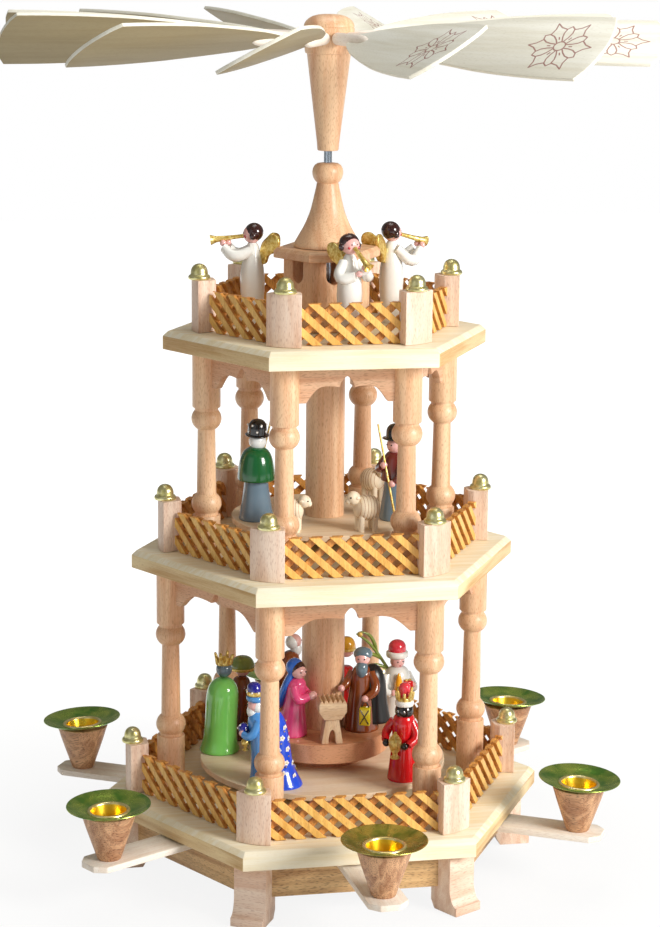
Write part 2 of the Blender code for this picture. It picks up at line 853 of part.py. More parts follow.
def arms_meshes(width, height, reach_share=1.0, hand_share=0.5, spread_share=0.35):
    arms = []
    for side in (1, -1):
        shoulder = (0, side * width * 0.5, height * 0.66)
        hand = (width * reach_share, side * width * spread_share, height * hand_share)
        arms.append(limb(shoulder, hand, width * 0.22, 0.8))
    return arms


def staff_mesh(width, height, top_share):
    # Stands upright in the left hand.
    x = width * 0.94
    y = width * 0.35
    return limb((x, y, height * 0.02), (x, y, height * top_share), width * 0.1)


def trumpet_mesh(width, height):
    mouth = (width * 0.3, 0, height * 0.85)
    bell = (width * 2.9, 0, height * 0.8)
    return limb(mouth, bell, width * 0.1, 3.6)


def wings_meshes(width, height):
    # Two flat wings, spread behind the shoulders.
    wings = []
    outline = [
        (0, height * 0.62), (width * 0.9, height * 0.56), (width * 1.5, height * 0.72),
        (width * 1.3, height * 0.86), (width * 0.6, height * 0.76), (0, height * 0.72)]
    for side in (1, -1):
        wing = flat_mesh([outline], width * 0.2)
        stand = Matrix(((0, 0, 1, 0), (side, 0, 0, 0), (0, 1, 0, 0), (0, 0, 0, 1)))
        wing.transform(Matrix.Translation((-width * 0.55, 0, 0)) @ stand)
        if side == -1:
            wing.flip_normals()
        wings.append(wing)
    return wings


def gift_mesh(width, height, hand_share):
    low = height * (hand_share - 0.09)
    high = height * (hand_share + 0.07)
    return rod_mesh(
        Vector((width * 1.05, 0, low)), Vector((width * 1.05, 0, high)),
        width * 0.2, width * 0.34, limb_steps)


def trained_mesh(mesh, width, height):
    # Bows the figure forward, and adds the cape that trails behind it.
    mesh.transform(Matrix(((1, 0, bow_share, 0), (0, 1, 0, 0), (0, 0, 1, 0), (0, 0, 0, 1))))
    train = body_mesh(cape_shares, width * train_width_share, height * train_height_share)
    train.transform(Matrix.Translation((-width * train_reach_share, 0, 0)))
    return combined(mesh, "UNION", train)


def figure_specs():
    # Kind, name, floor, distance from the axis, its angle, facing, width and height
    gallery = turret_floor - seat_gap
    row = lower_disc * row_share
    flock = upper_disc * flock_share
    watch = (roof_corner + top_corner - upper_fence_inset) / 2 - angel_width * watch_share
    middle = (lower_sleeve + stage_radius) / 2
    rings = {
        "row": (lower_disc_top, row, figure_width, figure_height),
        "stage": (stage_top, middle, figure_width, figure_height),
        "flock": (upper_disc_top, flock, figure_width, figure_height),
        "gallery": (gallery, watch, angel_width, angel_height)}
    specs = []
    for kind, name, ring, angle, facing, width_share, height_share in figure_shares:
        floor, reach, width, height = rings[ring]
        specs.append((
            kind, name, floor, reach, angle, facing, width * width_share,
            height * height_share))
    return specs


def background_mesh():
    # Three plain figures that stand behind the stage and are one piece with the disc.
    bodies = []
    for shares, angle, facing, height_share in background_shares:
        height = figure_height * height_share
        body = body_mesh(shares, figure_width, height)
        place = turn(radians(angle)) @ Matrix.Translation(
            (lower_disc * row_share, 0, lower_disc_top - overlap))
        body.transform(place @ turn(radians(facing - angle)))
        bodies.append(body)
    return bodies


def sheep_mesh(height):
    # A barrel on four legs, with its head raised.
    body = limb((-height * 0.42, 0, height * 0.56), (height * 0.34, 0, height * 0.6), height * 0.27)
    head = limb(
        (height * 0.26, 0, height * 0.7), (height * 0.56, 0, height * 0.86), height * 0.17, 0.8)
    legs = []
    for x in (-height * 0.3, height * 0.24):
        for y in (-height * 0.13, height * 0.13):
            legs.append(limb((x, y, -overlap), (x, y, height * 0.5), height * 0.07))
    return [body, head] + legs


def flock_meshes():
    meshes = []
    for angle, facing, reach_share, height_share in sheep_shares:
        place = turn(radians(angle)) @ Matrix.Translation(
            (upper_disc * reach_share, 0, upper_disc_top))
        for mesh in sheep_mesh(sheep_height * height_share):
            mesh.transform(place @ turn(radians(facing - angle)))
            meshes.append(mesh)
    return meshes


def make_figures(spindle):
    outlines = {
        "robe": robe_shares, "cape": cape_shares, "crown": crown_shares,
        "train": crown_shares, "hat": hat_shares, "gown": gown_shares}
    for kind, name, floor, reach, angle, facing, width, height in figure_specs():
        body = body_mesh(outlines[kind], width, height)
        if kind == "gown":
            extras = arms_meshes(width, height, 1.5, 0.8, 0.2)
            extras += [trumpet_mesh(width, height)] + wings_meshes(width, height)
        elif kind == "cape":
            extras = []
        elif kind == "hat":
            extras = arms_meshes(width, height) + [staff_mesh(width, height, 0.8)]
        elif kind in ("crown", "train"):
            extras = arms_meshes(width, height) + [gift_mesh(width, height, 0.5)]
        else:
            extras = arms_meshes(width, height)
        mesh = combined(body, "UNION", *extras)
        if kind == "train":
            mesh = trained_mesh(mesh, width, height)
        place = turn(radians(angle)) @ Matrix.Translation((reach, 0, floor + seat_gap))
        spot = place @ turn(radians(facing - angle))
        carrier = None if kind == "gown" else spindle
        finish(name, mesh, paints[name], parent=carrier, placement=spot)


clear_scene()
parts = make_collection("Candle carousel")
guides = make_collection("Guides")
spruce = make_material("Pale spruce", 0.80, 0.70, 0.42, 0.55)
beech = make_material("Natural beech", 0.62, 0.40, 0.24, 0.55)
limewood = make_material("Bleached limewood", 0.80, 0.79, 0.70, 0.6)
brass = make_material("Lacquered brass", 0.72, 0.55, 0.18, 0.25, 1.0)
steel = make_material("Bright steel", 0.60, 0.60, 0.60, 0.3, 1.0)
paints = {
    "king_green": make_material("Green lacquer", 0.12, 0.50, 0.08, 0.3),
    "king_blue": make_material("Blue lacquer", 0.02, 0.10, 0.60, 0.3),
    "king_red": make_material("Red lacquer", 0.60, 0.02, 0.02, 0.3),
    "servant_white": make_material("Ivory lacquer", 0.80, 0.78, 0.70, 0.3),
    "mary": make_material("Pink lacquer", 0.75, 0.08, 0.20, 0.3),
    "joseph": make_material("Brown lacquer", 0.20, 0.06, 0.02, 0.3),
    "shepherd_green": make_material("Moss lacquer", 0.08, 0.20, 0.10, 0.3),
    "shepherd_brown": make_material("Umber lacquer", 0.15, 0.05, 0.02, 0.3),
    "angel_front": make_material("White lacquer", 0.85, 0.87, 0.88, 0.35),
    "angel_right": make_material("White lacquer right", 0.85, 0.87, 0.88, 0.35),
    "angel_left": make_material("White lacquer left", 0.85, 0.87, 0.88, 0.35)}

axle = bpy.data.objects.new("rotor_axis", None)
parts.objects.link(axle)

make_plinth()
make_plates()
make_columns("lower_column", lower_column_ring, base_top, lower_storey, lower_column_foot)
make_columns("upper_column", upper_column_ring, middle_top, upper_storey, upper_column_foot)
make_fence("lower_fence", base_corner, lower_fence_inset, base_top)
make_fence("middle_fence", middle_corner, middle_fence_inset, middle_top)
make_fence("upper_fence", top_corner, upper_fence_inset, top_top)
make_turret()
make_spire()
make_arms()
make_rotor(axle)
make_turntables(axle)
make_figures(axle)
print("parts:", len([item for item in parts.objects if item.type == "MESH"]))
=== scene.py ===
from math import cos, pi, radians, sin, sqrt, tan
from random import Random

import bpy
from mathutils import Matrix, Vector


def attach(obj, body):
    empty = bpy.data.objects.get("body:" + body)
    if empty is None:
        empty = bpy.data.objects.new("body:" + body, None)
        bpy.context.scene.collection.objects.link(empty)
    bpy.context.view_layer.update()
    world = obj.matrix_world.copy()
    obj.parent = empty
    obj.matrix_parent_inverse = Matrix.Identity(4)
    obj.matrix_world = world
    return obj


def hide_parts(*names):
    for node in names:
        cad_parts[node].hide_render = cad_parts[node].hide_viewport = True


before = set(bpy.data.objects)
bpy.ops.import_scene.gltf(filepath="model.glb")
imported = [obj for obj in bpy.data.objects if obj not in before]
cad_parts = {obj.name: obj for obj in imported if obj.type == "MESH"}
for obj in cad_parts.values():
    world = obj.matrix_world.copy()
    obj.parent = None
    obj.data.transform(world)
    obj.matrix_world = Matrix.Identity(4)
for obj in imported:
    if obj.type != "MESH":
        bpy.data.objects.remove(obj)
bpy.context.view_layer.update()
print("frame loaded")

mm = 0.001
hexagon = 6
halfSide = radians(30)
chance = Random(11)

# Heights and rings of the carousel, in millimetres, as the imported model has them
tiers = {
    "base": {"corner": 117.0, "foot": 31.2, "top": 40.5, "posts": 100.6, "panel": 98.35},
    "middle": {"corner": 100.5, "foot": 160.0, "top": 169.3, "posts": 83.0, "panel": 80.75},
    "top": {"corner": 84.0, "foot": 273.0, "top": 282.3, "posts": 65.5, "panel": 63.25,
            "turn": 1.3}}
# the ring that a storey's columns stand on, their floor, their height and the height of the foot
storeys = {"lower": (80.5, 40.6, 119.3, 29.3), "upper": (61.7, 169.4, 103.5, 17.7)}


# Modelling helpers. Shapes are given in millimetres; meshes and places are in metres.

# stands a board up: its X goes to the side, its Y up, its face outwards
upended = Matrix(((0, 0, 1, 0), (1, 0, 0, 0), (0, 1, 0, 0), (0, 0, 0, 1)))


def deselect():
    if bpy.context.mode != "OBJECT":
        bpy.ops.object.mode_set(mode="OBJECT")
    bpy.ops.object.select_all(action="DESELECT")


def takeUp(piece):
    deselect()
    piece.select_set(True)
    bpy.context.view_layer.objects.active = piece


def settle(piece):
    # puts the place of a piece into its mesh
    takeUp(piece)
    bpy.ops.object.transform_apply(location=True, rotation=True, scale=True)


def editAll(piece):
    takeUp(piece)
    bpy.ops.object.mode_set(mode="EDIT")
    bpy.ops.mesh.select_all(action="SELECT")


def turnOnLathe(rings, steps=40, twist=0.0):
    # rings are (radius, height), along the outline from the foot
    deselect()
    radius, height = rings[0]
    bpy.ops.mesh.primitive_circle_add(
        vertices=steps, radius=radius * mm, fill_type="NGON", location=(0, 0, height * mm),
        rotation=(0, 0, twist))
    piece = bpy.context.object
    settle(piece)
    editAll(piece)
    for nextRadius, nextHeight in rings[1:]:
        rise = (nextHeight - height) * mm
        share = nextRadius / radius
        bpy.ops.mesh.extrude_region_move(TRANSFORM_OT_translate={"value": (0, 0, rise)})
        bpy.ops.transform.resize(
            value=(share, share, 1), center_override=(0, 0, nextHeight * mm))
        radius, height = nextRadius, nextHeight
    bpy.ops.mesh.select_all(action="SELECT")
    bpy.ops.mesh.normals_make_consistent(inside=False)
    bpy.ops.object.mode_set(mode="OBJECT")
    return piece


def meshFrom(curve):
    piece = bpy.data.objects.new(curve.name, curve)
    bpy.context.scene.collection.objects.link(piece)
    takeUp(piece)
    bpy.ops.object.convert(target="MESH")
    return bpy.context.object


def sawBoard(outline, thickness, edge=0.25, steps=2):
    # the outline is in the board's own X and Y; Z is its thickness
    curve = bpy.data.curves.new("board", "CURVE")
    curve.dimensions = "2D"
    curve.fill_mode = "BOTH"
    curve.extrude = thickness * mm / 2
    spline = curve.splines.new("POLY")
    spline.points.add(len(outline) - 1)
    for point, (x, y) in zip(spline.points, outline):
        point.co = (x * mm, y * mm, 0, 1)
    spline.use_cyclic_u = True
    piece = meshFrom(curve)
    editAll(piece)
    bpy.ops.mesh.remove_doubles(threshold=0.004 * mm)
    bpy.ops.mesh.dissolve_limited(angle_limit=radians(1))
    bpy.ops.mesh.normals_make_consistent(inside=False)
    bpy.ops.object.mode_set(mode="OBJECT")
    if edge:
        roundEdges(piece, edge, steps)
    return piece


def block(size, centre, lean=0):
    deselect()
    bpy.ops.mesh.primitive_cube_add(size=mm)
    piece = bpy.context.object
    piece.scale = size
    piece.rotation_euler = (0, 0, radians(lean))
    piece.location = [c * mm for c in centre]
    settle(piece)
    return piece


def applyModifier(piece, step):
    takeUp(piece)
    bpy.ops.object.modifier_apply(modifier=step.name)


def roundEdges(piece, width, steps=2, angle=35):
    step = piece.modifiers.new("Edges", "BEVEL")
    step.width = width * mm
    step.segments = steps
    step.limit_method = "ANGLE"
    step.angle_limit = radians(angle)
    step.use_clamp_overlap = True
    applyModifier(piece, step)


def cutAway(piece, tool):
    step = piece.modifiers.new("Cut", "BOOLEAN")
    step.operation = "DIFFERENCE"
    step.object = tool
    applyModifier(piece, step)
    bpy.data.objects.remove(tool)


def move(piece, matrix):
    piece.data.transform(matrix)
    return piece


def shift(x=0.0, y=0.0, z=0.0):
    return Matrix.Translation((x * mm, y * mm, z * mm))


def swing(angle, axis="Z"):
    return Matrix.Rotation(radians(angle), 4, axis)


def upright(reach, angle, height=0.0):
    return swing(angle) @ shift(reach, 0, height) @ upended


def copyOf(piece):
    twin = piece.copy()
    twin.data = piece.data.copy()
    bpy.context.scene.collection.objects.link(twin)
    return twin


def joinUp(pieces):
    deselect()
    for piece in pieces:
        piece.select_set(True)
    bpy.context.view_layer.objects.active = pieces[0]
    bpy.ops.object.join()
    return bpy.context.object


def rod(start, end, radius, endRadius=None, steps=12, dome=0.0):
    # a turned rod between two points, with a rounded end if dome is set
    start = Vector(start)
    along = Vector(end) - start
    endRadius = radius if endRadius is None else endRadius
    rings = [(radius, 0), (endRadius, along.length)]
    if dome:
        rings = [(radius * 0.5, -radius * dome * 0.9), (radius * 0.87, -radius * dome * 0.5)] \
            + rings + [(endRadius * 0.87, along.length + endRadius * dome * 0.5),
                       (endRadius * 0.5, along.length + endRadius * dome * 0.9)]
    piece = turnOnLathe(rings, steps)
    aim = along.to_track_quat("Z", "Y").to_matrix().to_4x4()
    return move(piece, Matrix.Translation(start * mm) @ aim)


def ball(centre, size, steps=16):
    # an egg or ball; size is one radius or three
    size = (size, size, size) if isinstance(size, (int, float)) else size
    deselect()
    bpy.ops.mesh.primitive_uv_sphere_add(segments=steps, ring_count=steps // 2, radius=mm)
    piece = bpy.context.object
    piece.location = [c * mm for c in centre]
    piece.scale = size
    settle(piece)
    return piece


def bend(points, steps=4, samples=5):
    # a rod through points (x, y, z, radius), as a curve made a mesh
    curve = bpy.data.curves.new("wire", "CURVE")
    curve.dimensions = "3D"
    curve.bevel_depth = mm
    curve.bevel_resolution = steps
    curve.resolution_u = samples
    curve.use_fill_caps = True
    spline = curve.splines.new("BEZIER")
    spline.bezier_points.add(len(points) - 1)
    for knot, (x, y, z, radius) in zip(spline.bezier_points, points):
        knot.co = (x * mm, y * mm, z * mm)
        knot.radius = radius
        knot.handle_left_type = "AUTO"
        knot.handle_right_type = "AUTO"
    piece = meshFrom(curve)
    editAll(piece)
    bpy.ops.mesh.remove_doubles(threshold=0.002 * mm)
    bpy.ops.mesh.normals_make_consistent(inside=False)
    bpy.ops.object.mode_set(mode="OBJECT")
    return piece


def curvePoints(knots, samples=6):
    # a smooth line through a few knots (Catmull-Rom)
    line = []
    for i in range(len(knots) - 1):
        a = knots[max(i - 1, 0)]
        b, c = knots[i], knots[i + 1]
        d = knots[min(i + 2, len(knots) - 1)]
        for k in range(samples):
            t = k / samples
            line.append(tuple(
                0.5 * (2 * q + (r - p) * t + (2 * p - 5 * q + 4 * r - s) * t * t
                       + (3 * q - p - 3 * r + s) * t ** 3)
                for p, q, r, s in zip(a, b, c, d)))
    line.append(tuple(knots[-1]))
    return line


def rememberGrain(piece, along="Z"):
    # keeps the piece's own coordinates for its wood, with the grain along their Z
    spot = Vector([chance.uniform(-0.5, 0.5) for axis in range(3)])
    swap = {"X": (1, 2, 0), "Y": (0, 2, 1), "Z": (0, 1, 2)}[along]
    mark = piece.data.attributes.new("grain", "FLOAT_VECTOR", "POINT")
    values = []
    for vertex in piece.data.vertices:
        values += [vertex.co[axis] + spot[k] for k, axis in enumerate(swap)]
    mark.data.foreach_set("vector", values)


def finish(piece, name, body, surface=None, nodes=(), sharp=40):
    piece.name = name
    piece.data.name = name
    if surface is not None:
        piece.data.materials.clear()
        piece.data.materials.append(surface)
    takeUp(piece)
    bpy.ops.object.shade_smooth_by_angle(angle=radians(sharp))
    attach(piece, body)
    if nodes:
        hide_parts(*nodes)
    return piece


def setAround(piece, prefix, surface, turn, place, along=None, node="", sharp=30):
    # Six copies, each a sixth further round the axis. A node with {} in it names a solid for
    # each copy; another node is the one solid that they all stand for.
    for number in range(hexagon):
        twin = copyOf(piece)
        if along:
            rememberGrain(twin, along)
        move(twin, swing(turn + 60 * number) @ place)
        own = node and (number == 0 or "{}" in node)
        finish(twin, f"{prefix}{number + 1}", "stand", surface,
               [node.format(number + 1)] if own else [], sharp)
    bpy.data.objects.remove(piece)


# Materials

def hexColour(code):
    # sRGB hex to the linear colour that the shader takes
    parts = [int(code[i:i + 2], 16) / 255 for i in (1, 3, 5)]
    linear = [c / 12.92 if c <= 0.04045 else ((c + 0.055) / 1.055) ** 2.4 for c in parts]
    return (*linear, 1.0)


def addNode(tree, kind, inputs=None, **settings):
    node = tree.nodes.new(kind)
    for name, value in settings.items():
        setattr(node, name, value)
    for socket, value in (inputs or {}).items():
        if isinstance(value, bpy.types.NodeSocket):
            tree.links.new(value, node.inputs[socket])
        else:
            node.inputs[socket].default_value = value
    return node


def reckon(tree, operation, *values, kind="ShaderNodeMath", out=0, **settings):
    # one arithmetic node on numbers, vectors or the outputs of other nodes
    return addNode(tree, kind, dict(enumerate(values)), operation=operation,
                   **settings).outputs[out]


def newSurface(name):
    surface = bpy.data.materials.new(name)
    surface.use_nodes = True
    tree = surface.node_tree
    return surface, tree, tree.nodes["Principled BSDF"]


def blendColours(tree, share, first, second, blend="MIX"):
    node = addNode(
        tree, "ShaderNodeMix", {"Factor": share}, data_type="RGBA", blend_type=blend)
    for socket, value in ((node.inputs[6], first), (node.inputs[7], second)):
        if isinstance(value, bpy.types.NodeSocket):
            tree.links.new(value, socket)
        else:
            socket.default_value = value
    return node.outputs[2]


def mapRange(tree, value, low, high, toLow=0.0, toHigh=1.0):
    return addNode(tree, "ShaderNodeMapRange", {
        "Value": value, "From Min": low, "From Max": high, "To Min": toLow,
        "To Max": toHigh}).outputs["Result"]


def grainNoise(tree, place, size, across, along, detail=2.0, distortion=0.0):
    # noise of a size in millimetres, drawn out across the bands and along the fibres
    fine = 1 / (size * mm)
    spot = addNode(tree, "ShaderNodeMapping", {
        "Vector": place, "Scale": (fine, across * fine, along * fine)}).outputs[0]
    return addNode(tree, "ShaderNodeTexNoise", {
        "Vector": spot, "Scale": 1.0, "Detail": detail, "Distortion": distortion}).outputs[0]


def woodSurface(name, light, dark, bands, fibre, fleck, share, roughness, coat=0.0,
                fleckSize=0.34):
    # Sawn or turned wood: growth bands, fine fibres, and the short dark ray flecks that beech
    # shows, all stretched along the grain.
    surface, tree, shader = newSurface(name)
    place = addNode(tree, "ShaderNodeAttribute", attribute_name="grain").outputs["Vector"]
    band = mapRange(tree, grainNoise(tree, place, bands, 0.35, 0.05, 2.0, 0.6), 0.36, 0.64)
    colour = blendColours(tree, band, hexColour(light), hexColour(dark))
    fibres = grainNoise(tree, place, 0.5, 1, 0.03)
    colour = blendColours(
        tree, mapRange(tree, fibres, 0.3, 0.7, 0.0, 0.3), colour, hexColour(fibre))
    flecks = grainNoise(tree, place, fleckSize, 1, 0.16, 0.0)
    colour = blendColours(
        tree, mapRange(tree, flecks, 0.58, 0.72, 0.0, share), colour, hexColour(fleck))
    tree.links.new(colour, shader.inputs["Base Color"])
    bump = addNode(tree, "ShaderNodeBump", {
        "Height": fibres, "Strength": 0.12, "Distance": 0.05 * mm})
    tree.links.new(bump.outputs[0], shader.inputs["Normal"])
    shader.inputs["Roughness"].default_value = roughness
    shader.inputs["Coat Weight"].default_value = coat
    shader.inputs["Coat Roughness"].default_value = 0.3
    return surface


# light and dark wood, width of the growth bands in millimetres, colours of the fibres and of the
# flecks, share of the flecks, roughness, weight of a clear coat, size of a fleck in millimetres
woodLooks = {
    # planed spruce, sealed: pale cream, with faint straw growth bands
    "planedSpruce": ("#f9f0d6", "#f0dfb4", 2.6, "#fdf8ea", "#dfc692", 0.12, 0.5),
    # the oblique edges of the same boards: straw brown, thirstier for the seal
    "spruceEnds": ("#f0d8a6", "#c69c62", 3.4, "#f6e4bc", "#a87c46", 0.2, 0.55),
    # pale turned decks, sealed: pinkish cream with hardly any figure
    "deckLime": ("#f3dfc2", "#e8cda6", 6.0, "#f8ebd6", "#cfa97e", 0.2, 0.5),
    # steamed beech, turned: warm pinkish tan, dark ray flecks, silky from the skew chisel
    "turnedBeech": ("#f0c89e", "#d9a074", 5.0, "#f8dcbc", "#b0744a", 0.42, 0.42, 0.15),
    # pink steamed beech, sawn and sanded: paler, strongly flecked
    "sawnBeech": ("#f4dcc8", "#deb69a", 3.6, "#faecdf", "#a46a4c", 0.34, 0.5),
    # beech board with its long face showing, shaded under the plates: rosy brown
    "boardBeech": ("#deb492", "#c48d68", 6.0, "#e9c6a6", "#925f42", 0.45, 0.5),
    # the stage ring, steamed beech turned across the grain: even pinkish brown
    "stageBeech": ("#e0a67c", "#c4825a", 5.0, "#ebba94", "#9c5f3c", 0.4, 0.42, 0.15),
    # honey-stained lime slats, front layer: golden yellow, a little darker along the fibres
    "stainedSlats": ("#f4c468", "#dba244", 3.2, "#fad48c", "#a8681e", 0.35, 0.45, 0.2),
    # the same slats in the rear layer and along their cut sides, darker orange brown: painted
    # shade
    "shadedSlats": ("#e0a04a", "#b87228", 3.2, "#ecb468", "#7a4010", 0.4, 0.5, 0.1),
    # bleached lime veneer board: chalky grey white, almost without figure
    "bleachedLime": ("#f2f1e4", "#e4e0cd", 6.0, "#f8f6ee", "#b9b39c", 0.16, 0.55),
    # candle cups, turned from dark-pored beech: reddish tan with dense brown pores
    "poredBeech": ("#d6a67c", "#a06a44", 2.4, "#e6c09a", "#5e3a24", 0.75, 0.45, 0.0, 0.4),
    # pale lime slats under the cups, left raw
    "rawLime": ("#f9f1e6", "#ecdccb", 5.0, "#fdf8f0", "#c2a58f", 0.25, 0.6),
    # the crib, whittled from raw lime and darker than the slats
    "cribLime": ("#efd3ac", "#d9b184", 3.0, "#f6e3c8", "#a97c54", 0.3, 0.6),
    # the sheep, turned from pale lime
    "sheepLime": ("#fbefd8", "#f0ddbb", 3.0, "#fdf6e6", "#cfae80", 0.2, 0.55),
    # the burnt rings round the sheep
    "sheepBrown": ("#c89a6c", "#ae7e50", 2.0, "#d4aa80", "#8c6038", 0.3, 0.6),
    # plinth boards, older stock: warm tan with yellow bands
    "plinthBeech": ("#d8b27e", "#b08250", 4.0, "#e2c496", "#704a2a", 0.55, 0.5)}
woods = {name: woodSurface(name, *look) for name, look in woodLooks.items()}


def lacquer(name, code, roughness=0.18, coat=0.6):
    # Nitro lacquer brushed over turned wood: saturated, glossy, slightly uneven in depth.
    surface, tree, shader = newSurface(name)
    place = addNode(tree, "ShaderNodeTexCoord").outputs["Object"]
    strokes = addNode(tree, "ShaderNodeTexNoise", {
        "Vector": place, "Scale": 1 / (4.0 * mm), "Detail": 2.0})
    depth = mapRange(tree, strokes.outputs[0], 0.3, 0.7, 0.88, 1.0)
    base = hexColour(code)
    thin = tuple(c * 0.8 for c in base[:3]) + (1.0,)
    tree.links.new(blendColours(tree, depth, thin, base), shader.inputs["Base Color"])
    bump = addNode(tree, "ShaderNodeBump", {
        "Height": strokes.outputs[0], "Strength": 0.08, "Distance": 0.2 * mm})
    tree.links.new(bump.outputs[0], shader.inputs["Normal"])
    shader.inputs["Roughness"].default_value = roughness
    shader.inputs["Coat Weight"].default_value = coat
    shader.inputs["Coat Roughness"].default_value = 0.08
    return surface


# colour of each paint, and what the record calls the lacquer nearest to it
paintLooks = {
    "capeGreen": ("#7fd465", "green"), "capeBlue": ("#1d4fdc", "blue"),
    "tunicBlue": ("#4f97dd", "blue"), "robeRed": ("#d3141c", "red"),
    "dressPink": ("#f4548e", "pink"), "veilBlue": ("#2a6fdc", "blue"),
    "robeBrown": ("#7c3a12", "brown"), "cloakBlack": ("#0b0908", "umber"),
    "robeWhite": ("#eef0ec", "ivory"), "coatGreen": ("#0b5f2e", "moss"),
    "skirtGrey": ("#6f8799", "moss"), "coatUmber": ("#6e2722", "umber"),
    "hatBlack": ("#0d0d10", "umber"), "skinPink": ("#f0b9b4", "pink"),
    "skinDark": ("#15100f", "umber"), "hairGrey": ("#5f7480", "moss"),
    "hairWhite": ("#eef3f4", "white"), "hairBrown": ("#331313", "umber"),
    "lipRed": ("#c2303c", "red"), "lampYellow": ("#f2e021", "ivory"),
    "robeOlive": ("#7d8f3c", "green"), "fruitGold": ("#e0a32a", "ivory"),
    "bandWhite": ("#f4f4f0", "white"), "capRed": ("#e2384a", "red"),
    "capNavy": ("#1b1f8f", "blue"), "angelWhite": ("#f7f8f4", "white"),
    "flameOrange": ("#f7ab1e", "ivory")}
satinPaints = {"cloakBlack": (0.34, 0.1)}
paints = {name: lacquer(name, look[0], *satinPaints.get(name, ()))
          for name, look in paintLooks.items()}


def metalSurface(name, light, dark, cloud, roughness, metallic):
    # Stamped or turned metal under clear lacquer: soft clouding in colour and polish.
    surface, tree, shader = newSurface(name)
    place = addNode(tree, "ShaderNodeTexCoord").outputs["Object"]
    clouds = addNode(tree, "ShaderNodeTexNoise", {
        "Vector": place, "Scale": 1 / (cloud * mm), "Detail": 3.0, "Distortion": 0.4}).outputs[0]
    share = mapRange(tree, clouds, 0.35, 0.65)
    tree.links.new(blendColours(tree, share, hexColour(light), hexColour(dark)),
                   shader.inputs["Base Color"])
    tree.links.new(mapRange(tree, clouds, 0.3, 0.7, roughness * 0.8, roughness * 1.25),
                   shader.inputs["Roughness"])
    shader.inputs["Metallic"].default_value = metallic
    return surface


# light and dark metal, size of the clouds in millimetres, roughness, share of metal
metalLooks = {
    # turned brass knobs, satin lacquered: pale gold with broad soft highlights
    "satinBrass": ("#f0ebb8", "#c9c27e", 3.0, 0.32, 0.92),
    # pressed dishes in green transparent lacquer over brass
    "greenBrass": ("#b4c65c", "#5f8f36", 9.0, 0.27, 0.85),
    # the front dish, olive gold where the others are green: a painted reflection on its brass
    "oliveBrassReflection": ("#cabb5e", "#7d8a36", 7.0, 0.27, 0.85),
    # candle sockets: clear lacquered yellow brass
    "yellowBrass": ("#ffdf45", "#e6b424", 5.0, 0.3, 0.9),
    # the rolled lip of a socket, rubbed pale
    "paleBrass": ("#f4e8ae", "#dcca80", 4.0, 0.3, 0.9),
    # gilt paint of crowns, wings and gifts: bronze powder in varnish
    "giltPaint": ("#f6e292", "#caa040", 1.5, 0.36, 0.65),
    # drawn steel rod, bright
    "drawnSteel": ("#b8c4cf", "#8f9aa5", 2.0, 0.2, 1.0)}
metals = {name: metalSurface(name, *look) for name, look in metalLooks.items()}
print("materials ready")


# Plates

plateLook = {"edge": 6.8, "chamfer": 2.5, "softEdge": 0.3}


def makePlate(name, tier, node):
    corner, foot, top = tier["corner"], tier["foot"], tier["top"]
    inset = plateLook["chamfer"] / cos(halfSide)
    rings = [(corner, foot), (corner, foot + plateLook["edge"]), (corner - inset, top)]
    plate = turnOnLathe(rings, hexagon, halfSide)
    roundEdges(plate, plateLook["softEdge"], 2, 20)
    plate.data.materials.append(woods["planedSpruce"])
    plate.data.materials.append(woods["spruceEnds"])
    mesh = plate.data
    lift = chance.uniform(-0.5, 0.5)
    values = [0.0] * (3 * len(mesh.loops))
    for face in mesh.polygons:
        along = Vector((1, 0, 0))
        if abs(face.normal.x) > 0.5 and face.normal.z < 0.3:
            face.material_index = 1
            along = face.normal.cross(Vector((0, 0, 1))).normalized()
        across = Vector((-along.y, along.x, 0))
        for loop in face.loop_indices:
            spot = mesh.vertices[mesh.loops[loop].vertex_index].co
            values[3 * loop:3 * loop + 3] = (
                across.dot(spot) + lift, spot.z + 0.1, along.dot(spot) + lift)
    mesh.attributes.new("grain", "FLOAT_VECTOR", "CORNER").data.foreach_set("vector", values)
    finish(plate, name, "stand", None, [node], 20)


for level, tier in tiers.items():
    makePlate(f"{level}Plate", tier, f"{level}_plate")

archLook = {
    "thickness": 4.0, "depth": 19.2, "crown": 11.0, "cusp": 11.7, "flat": 3.1, "notch": 3.7,
    "apex": 6.1, "tongue": 2.6, "column": 7.2}
archKnots = [
    (1.0, 0.0), (0.95, 0.13), (0.885, 0.33), (0.815, 0.52), (0.73, 0.72), (0.645, 0.87),
    (0.53, 0.97), (0.4, 1.0), (0.28, 0.995), (0.15, 0.97), (0.0, 0.915)]
notchKnots = [(1.0, 0.0), (0.97, 0.16), (0.86, 0.38), (0.68, 0.58), (0.46, 0.77), (0.22, 0.92)]


def archOutline(ring):
    # half of the board from its deep end to the point of the notch, then its mirror
    reach = ring / 2 - archLook["column"]
    start = reach - archLook["flat"]
    rise = archLook["depth"] - archLook["crown"]
    half = [(reach + archLook["tongue"], 0), (reach + archLook["tongue"], -archLook["depth"])]
    for across, up in curvePoints(archKnots, 2):
        half.append((archLook["notch"] + (start - archLook["notch"]) * across,
                     -archLook["depth"] + rise * up))
    deep = archLook["cusp"] - archLook["apex"]
    for across, up in curvePoints(notchKnots, 2)[1:]:
        half.append((archLook["notch"] * across, -archLook["cusp"] + deep * up))
    return half + [(0, -archLook["apex"])] + [(-x, y) for x, y in reversed(half)]


def makeArches(prefix, tier, ring):
    board = sawBoard(archOutline(ring), archLook["thickness"], 0.3)
    place = shift(ring * cos(halfSide), 0, tier["foot"] - 0.05) @ upended
    setAround(board, prefix, woods["boardBeech"], -90, place, "X")


makeArches("lowerArch", tiers["middle"], storeys["lower"][0])
makeArches("upperArch", tiers["top"], storeys["upper"][0])
print("plates and arches made")


# Columns

